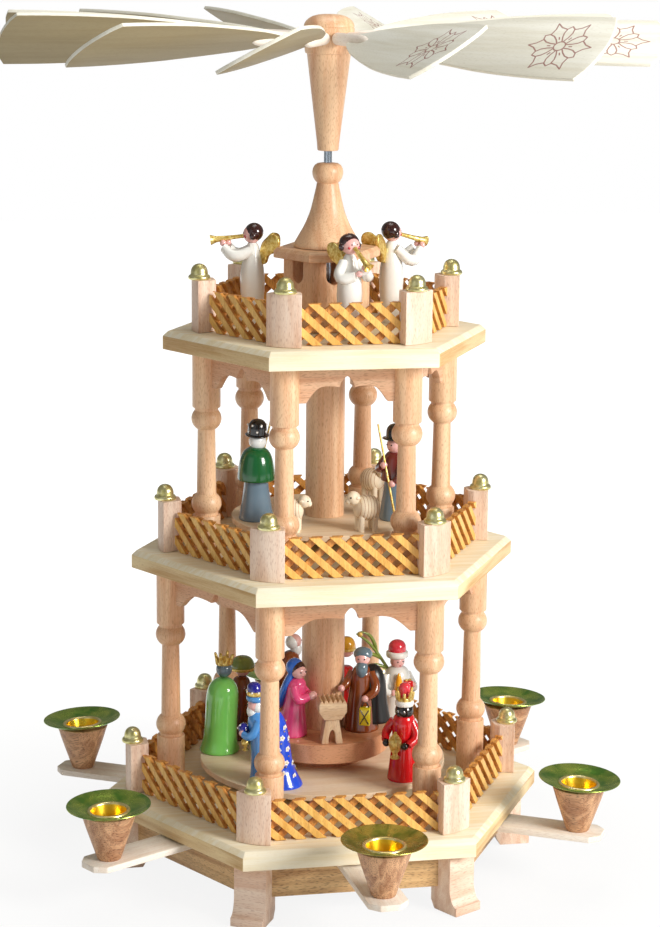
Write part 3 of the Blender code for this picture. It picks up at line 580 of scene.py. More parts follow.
columnLook = {
    "radius": 7.2, "ball": 7.7, "groove": 6.0, "neck": 4.5, "shank": 5.0, "head": 30.5,
    "ballHeight": 10.7}


def ballRings(low, high, first, last):
    rings = []
    for k in range(13):
        t = k / 12
        swell = sqrt(1 - ((t - 0.5) / 0.66) ** 2)
        edge = first if t < 0.5 else last
        radius = max(columnLook["ball"] * swell, edge)
        rings.append((radius, low + (high - low) * t))
    return rings


def columnRings(foot, height):
    # foot cylinder, groove, ball, tapered shank, ball, groove, head cylinder
    look = columnLook
    radius, groove = look["radius"], look["groove"]
    head = height - look["head"]
    top, bottom = foot + look["ballHeight"], head - look["ballHeight"]
    return [
        (radius - 0.3, 0), (radius, 0.4), (radius, foot - 0.8), (radius - 0.2, foot - 0.45),
        (groove, foot - 0.35), (groove, foot + 0.25),
        *ballRings(foot + 0.3, top, groove, look["shank"]),
        (look["shank"], top + 0.1), (look["neck"], bottom - 0.1),
        *ballRings(bottom, head - 0.3, look["neck"], groove),
        (groove, head - 0.25), (groove, head + 0.35), (radius - 0.2, head + 0.45),
        (radius, head + 0.8), (radius, height - 0.4), (radius - 0.3, height)]


def makeColumns(prefix, node, ring, floor, height, foot):
    column = turnOnLathe(columnRings(foot, height), 36)
    setAround(column, prefix, woods["turnedBeech"], -120, shift(ring, 0, floor), "Z",
              node)


for storey, measures in storeys.items():
    makeColumns(f"{storey}Column", storey + "_column_{}", *measures)
print("columns made")


# Fences

postLook = {
    "width": 18.2, "height": 26.0, "corner": 2.0, "bow": 1.6, "flank": (-5.2, 6.5),
    "heel": (-7.8, 4.55)}
knobRings = [
    (5.301, 0), (5.58, 0.4), (5.58, 1.1), (5.208, 1.9), (4.557, 2.25), (4.371, 2.6),
    (4.3245, 3.6), (4.092, 4.8), (3.627, 5.9), (2.79, 6.9), (1.767, 7.5), (0.744, 7.78)]
latticeLook = {
    "height": 20.5, "pitch": 10.2, "slat": 3.5, "layer": 2.0, "lean": 48.0, "tenon": 2.7}


def makePost():
    # a slightly bowed front, flanks that taper inwards, and a back cut to take the panels
    half, corner = postLook["width"] / 2, postLook["corner"]
    sides = [postLook["flank"], postLook["heel"]]
    outline = sides + [(x, -y) for x, y in reversed(sides)]
    for k in range(13):
        share = -1 + 2 * k / 12
        outline.append((corner + postLook["bow"] * (1 - share ** 2), half * share))
    return move(sawBoard(outline, postLook["height"]),
                shift(0, 0, postLook["height"] / 2))


def makeLattice(length):
    # two crossed layers of square slats, trimmed flush all round with a fine saw
    look = latticeLook
    long = look["height"] * 1.8
    layers = []
    for lean, depth in ((-look["lean"], look["layer"] / 2), (look["lean"], -look["layer"] / 2)):
        slats = []
        count = int(length / look["pitch"]) + 6
        for k in range(-count // 2, count // 2 + 1):
            slat = block((look["slat"], long, look["layer"]),
                         ((k + 0.25) * look["pitch"], look["height"] / 2, depth), -lean)
            rememberGrain(slat, "Y")
            slats.append(slat)
        layers.append(joinUp(slats))
    panel = joinUp(layers)
    half = length / 2 * mm
    trims = (((-half, 0, 0), (-1, 0, 0)), ((half, 0, 0), (1, 0, 0)), ((0, 0, 0), (0, -1, 0)),
             ((0, look["height"] * mm, 0), (0, 1, 0)))
    for point, outward in trims:
        editAll(panel)
        bpy.ops.mesh.bisect(
            plane_co=point, plane_no=outward, use_fill=True, clear_outer=True)
        bpy.ops.object.mode_set(mode="OBJECT")
    panel.data.materials.append(woods["stainedSlats"])
    panel.data.materials.append(woods["shadedSlats"])
    # painted shade: the cut sides and the rear layer take the darker slat colour
    for face in panel.data.polygons:
        if face.normal.z < 0.5 or face.center.z < look["layer"] * 0.5 * mm:
            face.material_index = 1
    roundEdges(panel, 0.18, 1, 50)
    return panel


def makeFence(prefix, node, tier):
    floor, turn = tier["top"] + 0.2, tier.get("turn", 0)
    place = shift(tier["posts"], 0, floor)
    post = makePost()
    knob = turnOnLathe(knobRings, 28)
    panel = makeLattice(tier["panel"] - postLook["width"] + 2 * latticeLook["tenon"])
    setAround(post, prefix + "Post", woods["sawnBeech"], turn, place, "Z", sharp=14)
    setAround(knob, prefix + "Knob", metals["satinBrass"], turn,
              place @ shift(0, 0, postLook["height"]), sharp=40)
    setAround(panel, prefix + "Panel", None, turn - 90,
              shift(tier["panel"] * cos(halfSide), 0, floor) @ upended, node=node)


makeFence("lowerFence", "lower_fence", tiers["base"])
makeFence("middleFence", "middle_fence", tiers["middle"])
makeFence("upperFence", "upper_fence", tiers["top"])
print("fences made")


# Plinth

plinthLook = {"apron": 90.0, "thick": 6.0, "bottom": 12.5, "top": 30.9, "notch": 22.4,
              "notchDeep": 4.4, "footWidth": 17.0, "shank": 107.5, "toe": 112.5, "toeHigh": 14.0,
              "sweep": (5.0, 9.5), "heel": ((96.5, 0), (94.0, 4.5))}


def makePlinth():
    look = plinthLook
    half = (look["apron"] - look["thick"]) * tan(halfSide) + 1.0
    slot = look["notch"] / 2
    sill = look["top"] - look["notchDeep"]
    outline = [(-half, look["bottom"]), (half, look["bottom"]), (half, look["top"]),
               (slot, look["top"]), (slot, sill), (-slot, sill), (-slot, look["top"]),
               (-half, look["top"])]
    setAround(sawBoard(outline, look["thick"], 0.3), "apron", woods["plinthBeech"], -90,
              shift(look["apron"] - look["thick"] / 2) @ upended, "X", "plinth")
    # a block foot, straight at its back and swept out to a toe in front
    outline = [(look["shank"], look["top"])]
    for k in range(9):
        angle = pi + pi / 2 * k / 8
        outline.append((look["toe"] + look["sweep"][0] * cos(angle),
                        look["toeHigh"] + look["sweep"][1] * sin(angle)))
    outline += [(look["toe"], 0), *look["heel"], (look["heel"][1][0], look["top"])]
    setAround(sawBoard(outline, look["footWidth"], 0.4), "foot", woods["sawnBeech"], 0,
              swing(90, "X"), "Z")


makePlinth()


# Candle arms, cups and drip pans

armLook = {"inner": 62.0, "end": 152.2, "clip": 5.0, "width": 20.0, "thick": 3.2, "top": 30.3,
           "cup": 139.03, "pivot": 90.03, "skew": 4.0, "tall": 23.9,
           "socket": 10.8, "lip": 0.6, "panFloor": -8.2}
cupRings = [
    (5.6, 0.0), (6.0, 0.4), (6.5, 2.0), (7.6, 5.2), (8.7, 8.4), (9.8, 11.6), (10.8, 14.6),
    (11.8, 17.6), (12.6, 20.4), (13.4, 22.8), (13.7, 23.6), (13.4, 23.9), (9.7, 23.9),
    (8.0, 14.0)]
panRings = [
    (7.2, -8.6), (7.5, -8.5), (9.4, 0.0), (10.9, 0.15), (13.6, 0.7), (16.6, 1.7), (19.8, 3.3),
    (20.6, 3.6), (20.9, 3.85), (20.8, 4.1), (20.4, 4.12), (16.5, 2.35), (13.5, 1.35),
    (11.1, 0.85), (10.7, 0.95), (10.6, 1.3), (10.1, 1.65), (9.5, 1.65), (9.1, 1.4), (8.8, 0.7),
    (7.0, -8.0)]
panTilts = (0.0, 3.0, 4.0, 1.0, 4.0, 2.0)


def makeArms():
    look = armLook
    half = look["width"] / 2
    outline = [
        (look["inner"], -half), (look["end"] - look["clip"], -half),
        (look["end"], look["clip"] - half), (look["end"], half - look["clip"]),
        (look["end"] - look["clip"], half), (look["inner"], half)]
    slat = sawBoard(outline, look["thick"], 0.35)
    move(slat, shift(-look["pivot"], 0, look["top"] - look["thick"] / 2))
    cup = turnOnLathe(cupRings, 48)
    pan = turnOnLathe(panRings, 64)
    reach = look["cup"] - look["pivot"]
    move(cup, shift(reach, 0, look["top"]))
    for number in range(hexagon):
        skew = look["skew"] if number == 0 else 0.0
        place = swing(-90 + 60 * number) @ shift(look["pivot"]) @ swing(skew)
        body = f"arm_{number + 1}"
        piece = copyOf(slat)
        rememberGrain(piece, "X")
        finish(move(piece, place), f"armSlat{number + 1}", body, woods["rawLime"],
               [f"candle_arm_{number + 1}"], 30)
        piece = copyOf(cup)
        rememberGrain(piece, "X")
        finish(move(piece, place), f"candleCup{number + 1}", body,
               woods["poredBeech"], sharp=40)
        piece = copyOf(pan)
        # the front dish takes the olive colour, a painted reflection
        dish = "oliveBrassReflection" if number == 0 else "greenBrass"
        for surface in (dish, "yellowBrass", "paleBrass"):
            piece.data.materials.append(metals[surface])
        for face in piece.data.polygons:
            spot = face.center / mm
            if spot.xy.length < look["socket"] and spot.z > look["panFloor"]:
                face.material_index = 2 if spot.z > look["lip"] else 1
        seat = place @ shift(reach, 0, look["top"] + look["tall"])
        move(piece, seat @ swing(panTilts[number], "Y"))
        finish(piece, f"dripPan{number + 1}", body, None,
               [f"drip_pan_{number + 1}"], 40)
    for spare in (slat, cup, pan):
        bpy.data.objects.remove(spare)


makeArms()
print("plinth and candle arms made")


# Turret and spire

turretLook = {"corner": 22.3, "room": 13.5, "floor": 282.6, "eaves": 318.6, "roof": 27.5,
              "roofThick": 5.0, "bevel": 1.6, "window": 8.0, "windowHigh": 12.1, "point": 4.0}


def makeTurret():
    look = turretLook
    house = turnOnLathe([
        (look["corner"], look["floor"]), (look["corner"], look["eaves"] + 0.2),
        (look["room"], look["eaves"] + 0.2), (look["room"], look["floor"] + 1.0)],
        hexagon, halfSide)
    half = look["window"] / 2
    sill = look["eaves"] - look["windowHigh"]
    outline = [(-half, look["eaves"] + 1), (-half, sill + look["point"])]
    outline += [(-half * 0.85, sill + look["point"] * 0.55),
                (-half * 0.5, sill + look["point"] * 0.2), (0, sill)]
    outline += [(-x, y) for x, y in reversed(outline[:-1])]
    tool = sawBoard(outline, look["corner"], 0)
    tools = []
    for side in range(hexagon):
        cutter = copyOf(tool)
        tools.append(move(cutter, upright(look["corner"], -90 + 60 * side)))
    bpy.data.objects.remove(tool)
    cutAway(house, joinUp(tools))
    roundEdges(house, 0.25, 2, 30)
    rememberGrain(house)
    finish(house, "turretHouse", "stand", woods["turnedBeech"], ["turret"], 30)
    eaves = look["eaves"]
    top = eaves + look["roofThick"]
    roof = turnOnLathe([
        (3.0, eaves), (look["roof"] - 0.4, eaves), (look["roof"], eaves + 0.4),
        (look["roof"], top - look["bevel"]), (look["roof"] - look["bevel"], top), (3.0, top)],
        hexagon, halfSide)
    rememberGrain(roof, "X")
    finish(roof, "turretRoof", "stand", woods["turnedBeech"], sharp=20)


makeTurret()

spireKnots = [
    (17.0, 323.9), (17.0, 325.0), (16.3, 326.4), (14.6, 329.4), (12.2, 333.6), (10.6, 337.0),
    (8.8, 341.5), (7.5, 346.5), (6.6, 350.5), (5.9, 353.5), (5.6, 355.4)]
finialRings = [
    (5.3, 356.0), (6.4, 357.0), (7.3, 358.6), (7.75, 360.4), (7.8, 361.6), (7.5, 363.3),
    (6.6, 364.9), (5.2, 365.8), (3.0, 366.1)]
spire = turnOnLathe(curvePoints(spireKnots, 3) + finialRings, 48)
rememberGrain(spire)
finish(spire, "spire", "stand", woods["turnedBeech"], ["spire"], 30)
print("turret and spire made")


# Rotor

rotorLook = {"first": 7.9, "dowelLevel": 427.95, "sheet": 1.8, "tip": 161.3, "bow": 4.9,
             "tipHalf": 21.1}
# reach of the burnt star's centre, radius of its ring, half its stroke, where that fades out
starLook = {"reach": 141.0, "ring": 3.0, "stroke": 0.2, "fade": 0.5, "share": 0.9}
starStrokes = (
    ((17.6, 0.0), (13.9, 1.5)), ((13.9, 1.5), (11.2, 4.0)), ((3.1, 1.3), (6.0, 1.6)),
    ((6.0, 1.6), (9.0, 2.5)), ((9.0, 2.5), (11.3, 4.3)), ((11.3, 4.3), (11.8, 6.8)),
    ((5.4, 0.0), (6.8, 0.0)))
bladePitches = (30, 29, 31, 30, 28, 32, 35, 27.5, 28, 31.3, 39.3, 27.3)
bladeKnots = [
    (37.0, 4.4), (45.0, 7.2), (55.0, 10.0), (68.0, 12.6), (84.0, 15.4), (104.0, 18.4),
    (126.0, 20.3), (145.0, 21.15), (160.7, 21.2)]


def bladeOutline():
    look = rotorLook
    lower = [(x, -y) for x, y in curvePoints(bladeKnots, 4)]
    tip = []
    for k in range(1, 8):
        across = -1 + 2 * k / 8
        tip.append((look["tip"] + look["bow"] * (1 - across ** 2), look["tipHalf"] * across))
    return lower + tip + [(x, -y) for x, y in reversed(lower)]


def starNodes(tree, place):
    # A burnt star flower: six pointed petals, six rounded ones between them, a ring at the
    # centre, drawn as the distance to a few strokes in one folded sector. The UV map holds
    # the blade's own plan in metres.
    def vector(operation, *values, out="Value"):
        return reckon(tree, operation, *values, kind="ShaderNodeVectorMath", out=out)

    look = starLook
    spot = vector("SUBTRACT", place, (look["reach"] * mm, 0.0, 0.0), out=0)
    radius = vector("LENGTH", spot)
    axes = addNode(tree, "ShaderNodeSeparateXYZ", {0: spot}).outputs
    fold = reckon(tree, "PINGPONG", reckon(tree, "ARCTAN2", axes[1], axes[0]), halfSide)
    u = reckon(tree, "MULTIPLY", radius, reckon(tree, "COSINE", fold))
    v = reckon(tree, "MULTIPLY", radius, reckon(tree, "SINE", fold))
    point = addNode(tree, "ShaderNodeCombineXYZ", {0: u, 1: v}).outputs[0]
    nearest = reckon(tree, "ABSOLUTE", reckon(tree, "SUBTRACT", radius, look["ring"] * mm))
    for start, end in starStrokes:
        start, end = Vector((*start, 0)) * mm, Vector((*end, 0)) * mm
        along = end - start
        offset = vector("SUBTRACT", point, start, out=0)
        share = reckon(tree, "DIVIDE", vector("DOT_PRODUCT", offset, along),
                       along.length_squared, use_clamp=True)
        foot = addNode(tree, "ShaderNodeVectorMath", {0: along, "Scale": share},
                       operation="SCALE").outputs[0]
        nearest = reckon(tree, "MINIMUM", nearest, vector("DISTANCE", offset, foot))
    return mapRange(tree, nearest, look["stroke"] * mm, look["fade"] * mm, 1.0, 0.0)


def makeBladeSurface():
    # bleached on top, with the burnt star; the underside is darkened by multiplying a grey brown:
    # painted shade
    surface = woodSurface("burntLime", *woodLooks["bleachedLime"])
    tree = surface.node_tree
    shader = tree.nodes["Principled BSDF"]
    plain = shader.inputs["Base Color"].links[0].from_socket
    side = addNode(tree, "ShaderNodeAttribute", attribute_name="bladeSide").outputs["Fac"]
    # painted shade: faces that look down are multiplied towards grey brown
    undersideShade = mapRange(tree, side, -0.5, -0.9)
    plain = blendColours(tree, undersideShade, plain, hexColour("#a2957a"), "MULTIPLY")
    star = starNodes(tree, addNode(tree, "ShaderNodeUVMap", uv_map="plan").outputs[0])
    share = reckon(tree, "MULTIPLY", star, mapRange(tree, side, 0.5, 0.9))
    faded = reckon(tree, "MULTIPLY", share, starLook["share"])
    colour = blendColours(tree, faded, plain, hexColour("#94544a"))
    tree.links.new(colour, shader.inputs["Base Color"])
    return surface


def makeBlades():
    look = rotorLook
    sheet = sawBoard(bladeOutline(), look["sheet"], 0.3)
    rememberGrain(sheet, "X")
    plan = sheet.data.uv_layers.new(name="plan")
    for loop, spot in zip(sheet.data.loops, plan.data):
        spot.uv = sheet.data.vertices[loop.vertex_index].co.xy
    mark = sheet.data.attributes.new("bladeSide", "FLOAT", "FACE")
    mark.data.foreach_set("value", [f.normal.z for f in sheet.data.polygons])
    surface = makeBladeSurface()
    dowel = turnOnLathe([
        (1.6, 9.0), (1.6, 12.9), (2.9, 13.0), (3.1, 13.4), (3.1, 47.0), (2.95, 50.0),
        (2.4, 53.4), (1.5, 55.6), (0.4, 56.5)], 20)
    rememberGrain(dowel)
    move(dowel, swing(90, "Y"))
    for number, pitch in enumerate(bladePitches):
        place = swing(look["first"] + 30 * number)
        place = shift(0, 0, look["dowelLevel"]) @ place @ swing(pitch, "X")
        body = f"vane_{number + 1}"
        piece = copyOf(sheet)
        move(piece, place)
        finish(piece, f"blade{number + 1}", body, surface,
               [f"blade_{number + 1}"], 30)
        piece = copyOf(dowel)
        move(piece, place)
        finish(piece, f"bladeDowel{number + 1}", body, woods["rawLime"])
    bpy.data.objects.remove(sheet)
    bpy.data.objects.remove(dowel)


makeBlades()

headRings = [
    (4.9, 372.2), (5.3, 372.5), (5.6, 376.0), (8.4, 399.0), (10.9, 419.6), (11.1, 420.2),
    (11.7, 420.4), (12.0, 421.2), (12.35, 425.0), (12.65, 429.0), (12.75, 432.6),
    (12.45, 433.0), (12.4, 433.3), (12.65, 433.7), (12.4, 434.8), (11.6, 436.2), (10.2, 437.5),
    (8.2, 438.6), (5.6, 439.3), (2.6, 439.57), (0.5, 439.6)]
head = turnOnLathe(headRings, 48)
rememberGrain(head)
finish(head, "rotorHead", "rotor", woods["turnedBeech"], ["rotor_head"], 30)
rodPiece = turnOnLathe([(0.3, 36.0), (2.0, 38.0), (2.0, 401.5), (1.6, 401.9)], 24)
finish(rodPiece, "shaftRod", "rotor", metals["drawnSteel"], ["shaft"])
print("rotor made")


# Turntables

discs = (
    ("lowerDisc", ["lower_turntable"], "deckLime", [
        (9.0, 41.3), (9.0, 51.0), (64.3, 51.0), (64.5, 51.2), (64.5, 53.8), (64.3, 54.0),
        (9.0, 54.0)]),
    ("stage", [], "stageBeech", [
        (22.0, 54.0), (22.0, 60.3), (34.6, 60.3), (35.0, 60.7), (35.0, 70.1), (34.6, 70.5),
        (11.0, 70.5)]),
    ("upperDisc", ["upper_turntable"], "deckLime", [
        (9.0, 170.1), (9.0, 181.6), (48.0, 181.6), (48.2, 181.8), (48.2, 184.4),
        (48.0, 184.6), (9.0, 184.6)]))
for name, nodes, timber, rings in discs:
    disc = turnOnLathe(rings, 96)
    rememberGrain(disc, "X")
    finish(disc, name, "rotor", woods[timber], nodes, 30)
sleeves = (("lowerSleeve", 11.2, 70.4, 159.2), ("upperSleeve", 10.0, 184.5, 272.2))
for name, radius, low, high in sleeves:
    sleeve = turnOnLathe([(radius - 0.3, low), (radius, low + 0.3), (radius, high - 0.3),
                          (radius - 0.3, high)], 48)
    rememberGrain(sleeve)
    finish(sleeve, name, "rotor", woods["turnedBeech"], sharp=30)
print("turntables made")


# Figures: turned bodies, turned heads and painted marks. Each is made on its own origin in
# millimetres, looks along +X, has its left hand on +Y, and is then put in its place.

figureSteps = 32
# how far from the axis figures stand, and on what height
lowerRing, stageRing = (54.2, 54.05), (23.1, 70.55)
upperRing, topRing = (37.1, 184.65), (38.4, 283.85)


def turnCloth(knots, lean=(0.0, 0.0), centre=(0.0, 0.0)):
    # a turned body from a few knots, set off its axis and leaning as it rises
    piece = turnOnLathe(curvePoints(knots, 3), figureSteps)
    slant = Matrix(((1, 0, lean[0], 0), (0, 1, lean[1], 0), (0, 0, 1, 0), (0, 0, 0, 1)))
    return move(piece, shift(*centre) @ slant)


def onBall(centre, radius, turnBy, rise):
    turnBy, rise = radians(turnBy), radians(rise)
    return (centre[0] + radius * cos(rise) * cos(turnBy),
            centre[1] + radius * cos(rise) * sin(turnBy), centre[2] + radius * sin(rise))


def dots(places, size, steps=8):
    return joinUp([ball(place, size, steps) for place in places])


def makeFace(centre, radius, look=0.0):
    # two dark eyes and a small mouth, on the front of a head
    eyes = dots([onBall(centre, radius, look + side * 22, 6) for side in (-1, 1)], 0.42)
    mouth = ball(onBall(centre, radius * 0.98, look, -28), (0.3, 0.75, 0.3), 8)
    return [("Eyes", eyes, "hatBlack"), ("Mouth", mouth, "lipRed")]


def makeArm(points, label, colour, hand, handColour, handSize=1.7):
    # a sleeve through points that each have their own radius, and a ball for the hand
    return [(f"{label}Sleeve", bend(points), colour),
            (f"{label}Hand", ball(hand, handSize, 14), handColour)]


def makeCrown(centre, radius, points, height):
    # a flared ring with blunt points that lean outwards
    x, y, z = centre
    ring = turnOnLathe([
        (radius * 0.9, z), (radius, z + 0.5), (radius * 1.06, z + 1.8), (radius * 0.96, z + 2.3),
        (radius * 0.7, z + 2.2), (radius * 0.6, z + 0.5)], 24)
    parts = [move(ring, shift(x, y))]
    for k in range(points):
        angle = radians(360 * k / points + 20)
        out = Vector((cos(angle), sin(angle), 0))
        tall = height * (1.0 if k % 2 else 0.72)
        foot = Vector((x, y, z + 1.4)) + out * radius * 0.9
        tip = foot + out * tall * 0.3 + Vector((0, 0, tall))
        parts.append(rod(foot, tip, 1.2, 0.75, 8, 1))
    return joinUp(parts)


def makeArmPair(points, colour, hand):
    # two arms that mirror each other
    parts = []
    for label, side in (("Left", 1), ("Right", -1)):
        line = [(x, side * y, z, radius) for x, y, z, radius in points]
        parts += makeArm(line, label, colour, (hand[0], side * hand[1], hand[2]), "skinPink",
                         1.8)
    return parts


def makeFlower(place, facing):
    # five flat petals round a middle, as a brush sets them down
    petals = []
    for k in range(5):
        angle = radians(72 * k)
        petals.append(ball((0, 0.95 * cos(angle), 0.95 * sin(angle)), (0.25, 0.72, 0.72), 8))
    return move(joinUp(petals), shift(*place) @ swing(facing))


def placeFigure(name, spot, parts, nodes=(), body="rotor"):
    # a spot is its angle round the axis, the way that it faces, its reach and its floor
    angle, facing, reach, floor = spot
    place = swing(angle) @ shift(reach, 0, floor) @ swing(facing - angle)
    for label, piece, colour in parts:
        move(piece, place)
        if colour in woods:
            rememberGrain(piece)
            slot, surface = "beech", woods[colour]
        elif colour == "gilt":
            slot, surface = "brass", metals["giltPaint"]
        else:
            slot, surface = f"{paintLooks[colour][1]}_lacquer", paints[colour]
        finish(piece, name + label, body, surface, nodes, 50)
        nodes = ()


def makeGreenKing():
    # seen from behind: a smooth green cape, grey hair and a twiggy gilt crown
    cape = turnCloth([
        (9.8, 0), (10.6, 0.7), (10.5, 1.8), (9.6, 4.4), (9.0, 8), (8.7, 14), (8.6, 22),
        (8.6, 29), (8.2, 33), (7.2, 36), (5.4, 38.5), (3.0, 40)], (0, -0.05), (0, 0.6))
    head = (0.6, -1.8, 44.6)
    parts = [
        ("Cape", cape, "capeGreen"), ("Head", ball(head, 4.1, 20), "skinPink"),
        ("Hair", ball((-0.2, -1.8, 44.9), (4.3, 4.35, 4.3), 20), "hairGrey"),
        ("Beard", ball((4.2, -1.8, 41.4), (1.8, 2.6, 3.4), 16), "hairGrey"),
        ("Crown", makeCrown((0.2, -1.8, 47.0), 4.0, 8, 4.4), "gilt"),
        ("Cap", ball((0.2, -1.8, 48.8), (3.4, 3.4, 3.2), 16), "gilt"),
        ("Gift", ball((9.6, -1.4, 27), (2.6, 2.6, 3.2), 16), "gilt")]
    parts += makeArm([(2, 4.4, 33, 2.3), (6.0, 4.6, 28.5, 2.2), (9.0, 1.6, 27.0, 1.8)], "Left",
                     "capeGreen", (9.8, 0.8, 26.8), "skinPink")
    parts += makeArm([(2, -6.6, 33, 2.3), (6.0, -6.8, 28.5, 2.2), (9.0, -4.0, 27.0, 1.8)],
                     "Right", "capeGreen", (9.8, -3.2, 26.8), "skinPink")
    parts += makeFace(head, 4.1)
    placeFigure("kingGreen", (164, 85, *lowerRing), parts, nodes=["king_green"])


def makeBlueKing():
    # bowing in a light tunic, with a dark flowered cape that trails behind
    lean = 0.147
    tunic = turnCloth([
        (9.2, 0), (9.6, 0.7), (9.2, 2.4), (8.0, 7), (6.9, 13), (6.1, 20), (5.9, 26),
        (5.9, 31), (5.2, 34.8), (3.8, 37.2), (2.2, 38.4)], (lean, 0))
    capeRings = [
        (10.2, 0), (10.4, 0.6), (9.9, 2.2), (8.6, 5.2), (7.2, 9.4), (6.7, 13), (6.6, 18),
        (6.5, 24), (6.2, 30), (5.3, 35), (3.6, 38.2), (1.6, 39.4)]
    cape = turnCloth(capeRings, (0.13, 0), (-7.4, 0.3))
    marks, gold = [], []
    places = ((150, 6), (128, 13), (146, 20), (124, 26), (152, 31), (170, 12), (168, 25),
              (104, 33), (104, 8), (98, 20), (-150, 8), (-122, 16), (-146, 24), (-120, 31))
    for k, (angle, z) in enumerate(places):
        lower = [ring for ring in capeRings if ring[1] <= z][-1]
        upper = [ring for ring in capeRings if ring[1] > z][0]
        share = (z - lower[1]) / (upper[1] - lower[1])
        radius = lower[0] + (upper[0] - lower[0]) * share
        centre = (-7.4 + 0.13 * z, 0.3)
        spot = (centre[0] + radius * cos(radians(angle)),
                centre[1] + radius * sin(radians(angle)), z)
        marks.append(makeFlower(spot, angle))
        gold.append(onBall((centre[0], centre[1], z), radius + 0.05, angle, 0))
        gold.append(onBall((centre[0], centre[1], z + 3.4), radius * 0.97, angle + 14, 0))
    head = (lean * 42 + 0.6, 0, 41.6)
    brim = turnCloth([(3.6, 43.6), (4.5, 44.2), (4.9, 45.3), (4.6, 46.4), (3.6, 46.8)],
                     (0.12, 0), (1.0, 0))
    cap = turnCloth([(3.7, 46.6), (3.9, 48.0), (3.9, 50.0), (3.4, 52.0), (2.2, 53.2),
                     (0.8, 53.6)], (0.12, 0), (1.0, 0))
    band = turnCloth([(3.9, 46.9), (4.3, 47.1), (4.4, 48.9), (4.0, 49.2)], (0.12, 0),
                     (1.0, 0))
    studs = [onBall((1.0 + 0.12 * 48.9, 0, 49.0), 4.3, 30 + 45 * k, 0) for k in range(8)]
    gift = ball((12.4, 1.6, 29.5), (2.9, 3.2, 2.9), 18)
    specks = [onBall((12.4, 1.6, 29.5), 3.0, 40 * k, 50 * sin(2.1 * k)) for k in range(16)]
    cup = turnOnLathe([(1.5, 0), (1.9, 0.5), (0.8, 1.4), (0.8, 2.0), (2.0, 3.0), (2.3, 4.4),
                       (2.0, 5.6), (1.0, 6.4)], 16)
    parts = [
        ("Tunic", tunic, "tunicBlue"), ("Cape", cape, "capeBlue"),
        ("Flowers", joinUp(marks), "bandWhite"), ("Studs", dots(gold, 0.45, 6), "gilt"),
        ("Head", ball(head, 3.9, 20), "skinPink"),
        ("Beard", ball((head[0] + 1.4, 0, 38.4), (2.9, 3.4, 3.9), 18), "hairWhite"),
        ("Hair", ball((head[0] - 1.2, 0, 41.2), (3.4, 4.0, 4.0), 18), "hairWhite"),
        ("Brim", brim, "tunicBlue"), ("Band", band, "gilt"), ("Cap", cap, "capNavy"),
        ("CapPearls", dots(studs, 0.6, 8), "bandWhite"), ("Gift", gift, "capNavy"),
        ("GiftPearls", dots(specks, 0.5, 8), "bandWhite"),
        ("Vessel", move(cup, shift(11.5, 1.0, 17.5)), "gilt")]
    parts += makeArm([(4.6, 4.4, 34, 2.3), (8.6, 7.0, 27, 2.3), (12.4, 5.0, 27.4, 1.8)], "Left",
                     "tunicBlue", (13.0, 4.4, 27.8), "skinPink", 1.6)
    parts += makeArm([(4.6, -4.4, 34, 2.3), (8.6, -6.0, 27, 2.3), (12.4, -2.0, 26.4, 1.8)],
                     "Right", "tunicBlue", (13.0, -1.4, 26.6), "skinPink", 1.6)
    parts += makeFace(head, 3.95)
    placeFigure("kingBlue", (-131.5, 165, *lowerRing), parts, nodes=["king_blue"])


def makeRedKing():
    # black face and hands, a white-rimmed gilt crown with a red cap, and a gilt goblet
    robe = turnCloth([
        (7.6, 0), (8.0, 0.7), (7.7, 3), (7.0, 9), (6.3, 16), (5.9, 23), (6.0, 28), (5.8, 31),
        (4.9, 33.8), (3.0, 35.6)], (0, 0.01), (0.4, 1.4))
    head = (1.0, 2.0, 36.6)
    rim = turnCloth([(3.8, 39.2), (4.6, 39.6), (4.9, 40.8), (4.6, 42.0), (3.8, 42.4)],
                    centre=(0.7, 2.0))
    cap = turnCloth([(2.6, 42.2), (2.7, 44.0), (2.5, 46.0), (2.9, 48.6), (2.5, 50.4),
                     (1.4, 51.3), (0.5, 51.5)], centre=(0.7, 2.0))
    goblet = turnOnLathe([
        (2.3, 0), (2.6, 0.5), (1.4, 1.6), (1.3, 2.8), (2.5, 4.2), (3.2, 6.6), (3.4, 9.4),
        (3.0, 9.9), (2.8, 10.3), (2.0, 11.7), (1.1, 12.8), (0.6, 14.0)], 24)
    parts = [
        ("Robe", robe, "robeRed"), ("Head", ball(head, (4.8, 4.8, 4.7), 22), "skinDark"),
        ("Rim", rim, "bandWhite"), ("Crown", makeCrown((0.7, 2.0, 41.6), 3.8, 8, 4.6), "gilt"),
        ("Cap", cap, "capRed"), ("Goblet", move(goblet, shift(10.6, 1.2, 14.0)), "gilt")]
    parts += makeArm([(0.6, 6.0, 31, 2.5), (2.6, 9.4, 24, 2.4), (7.6, 7.2, 20.6, 1.9)], "Left",
                     "robeRed", (8.6, 5.6, 20.2), "skinDark", 2.0)
    parts += makeArm([(0.6, -3.4, 31, 2.5), (2.6, -6.8, 25, 2.4), (7.0, -5.8, 21.6, 1.9)],
                     "Right", "robeRed", (8.4, -4.6, 20.8), "skinDark", 2.0)
    eyes = [onBall(head, 4.6, side * 22, 8) for side in (-1, 1)]
    parts += [("Eyes", dots(eyes, 0.62), "bandWhite"),
              ("Pupils", dots([(x + 0.35, y, z) for x, y, z in eyes], 0.36), "hatBlack"),
              ("Mouth", ball(onBall(head, 4.7, 0, -28), (0.3, 1.0, 0.45), 8), "lipRed")]
    placeFigure("kingRed", (-53, -125, *lowerRing), parts, nodes=["king_red"])


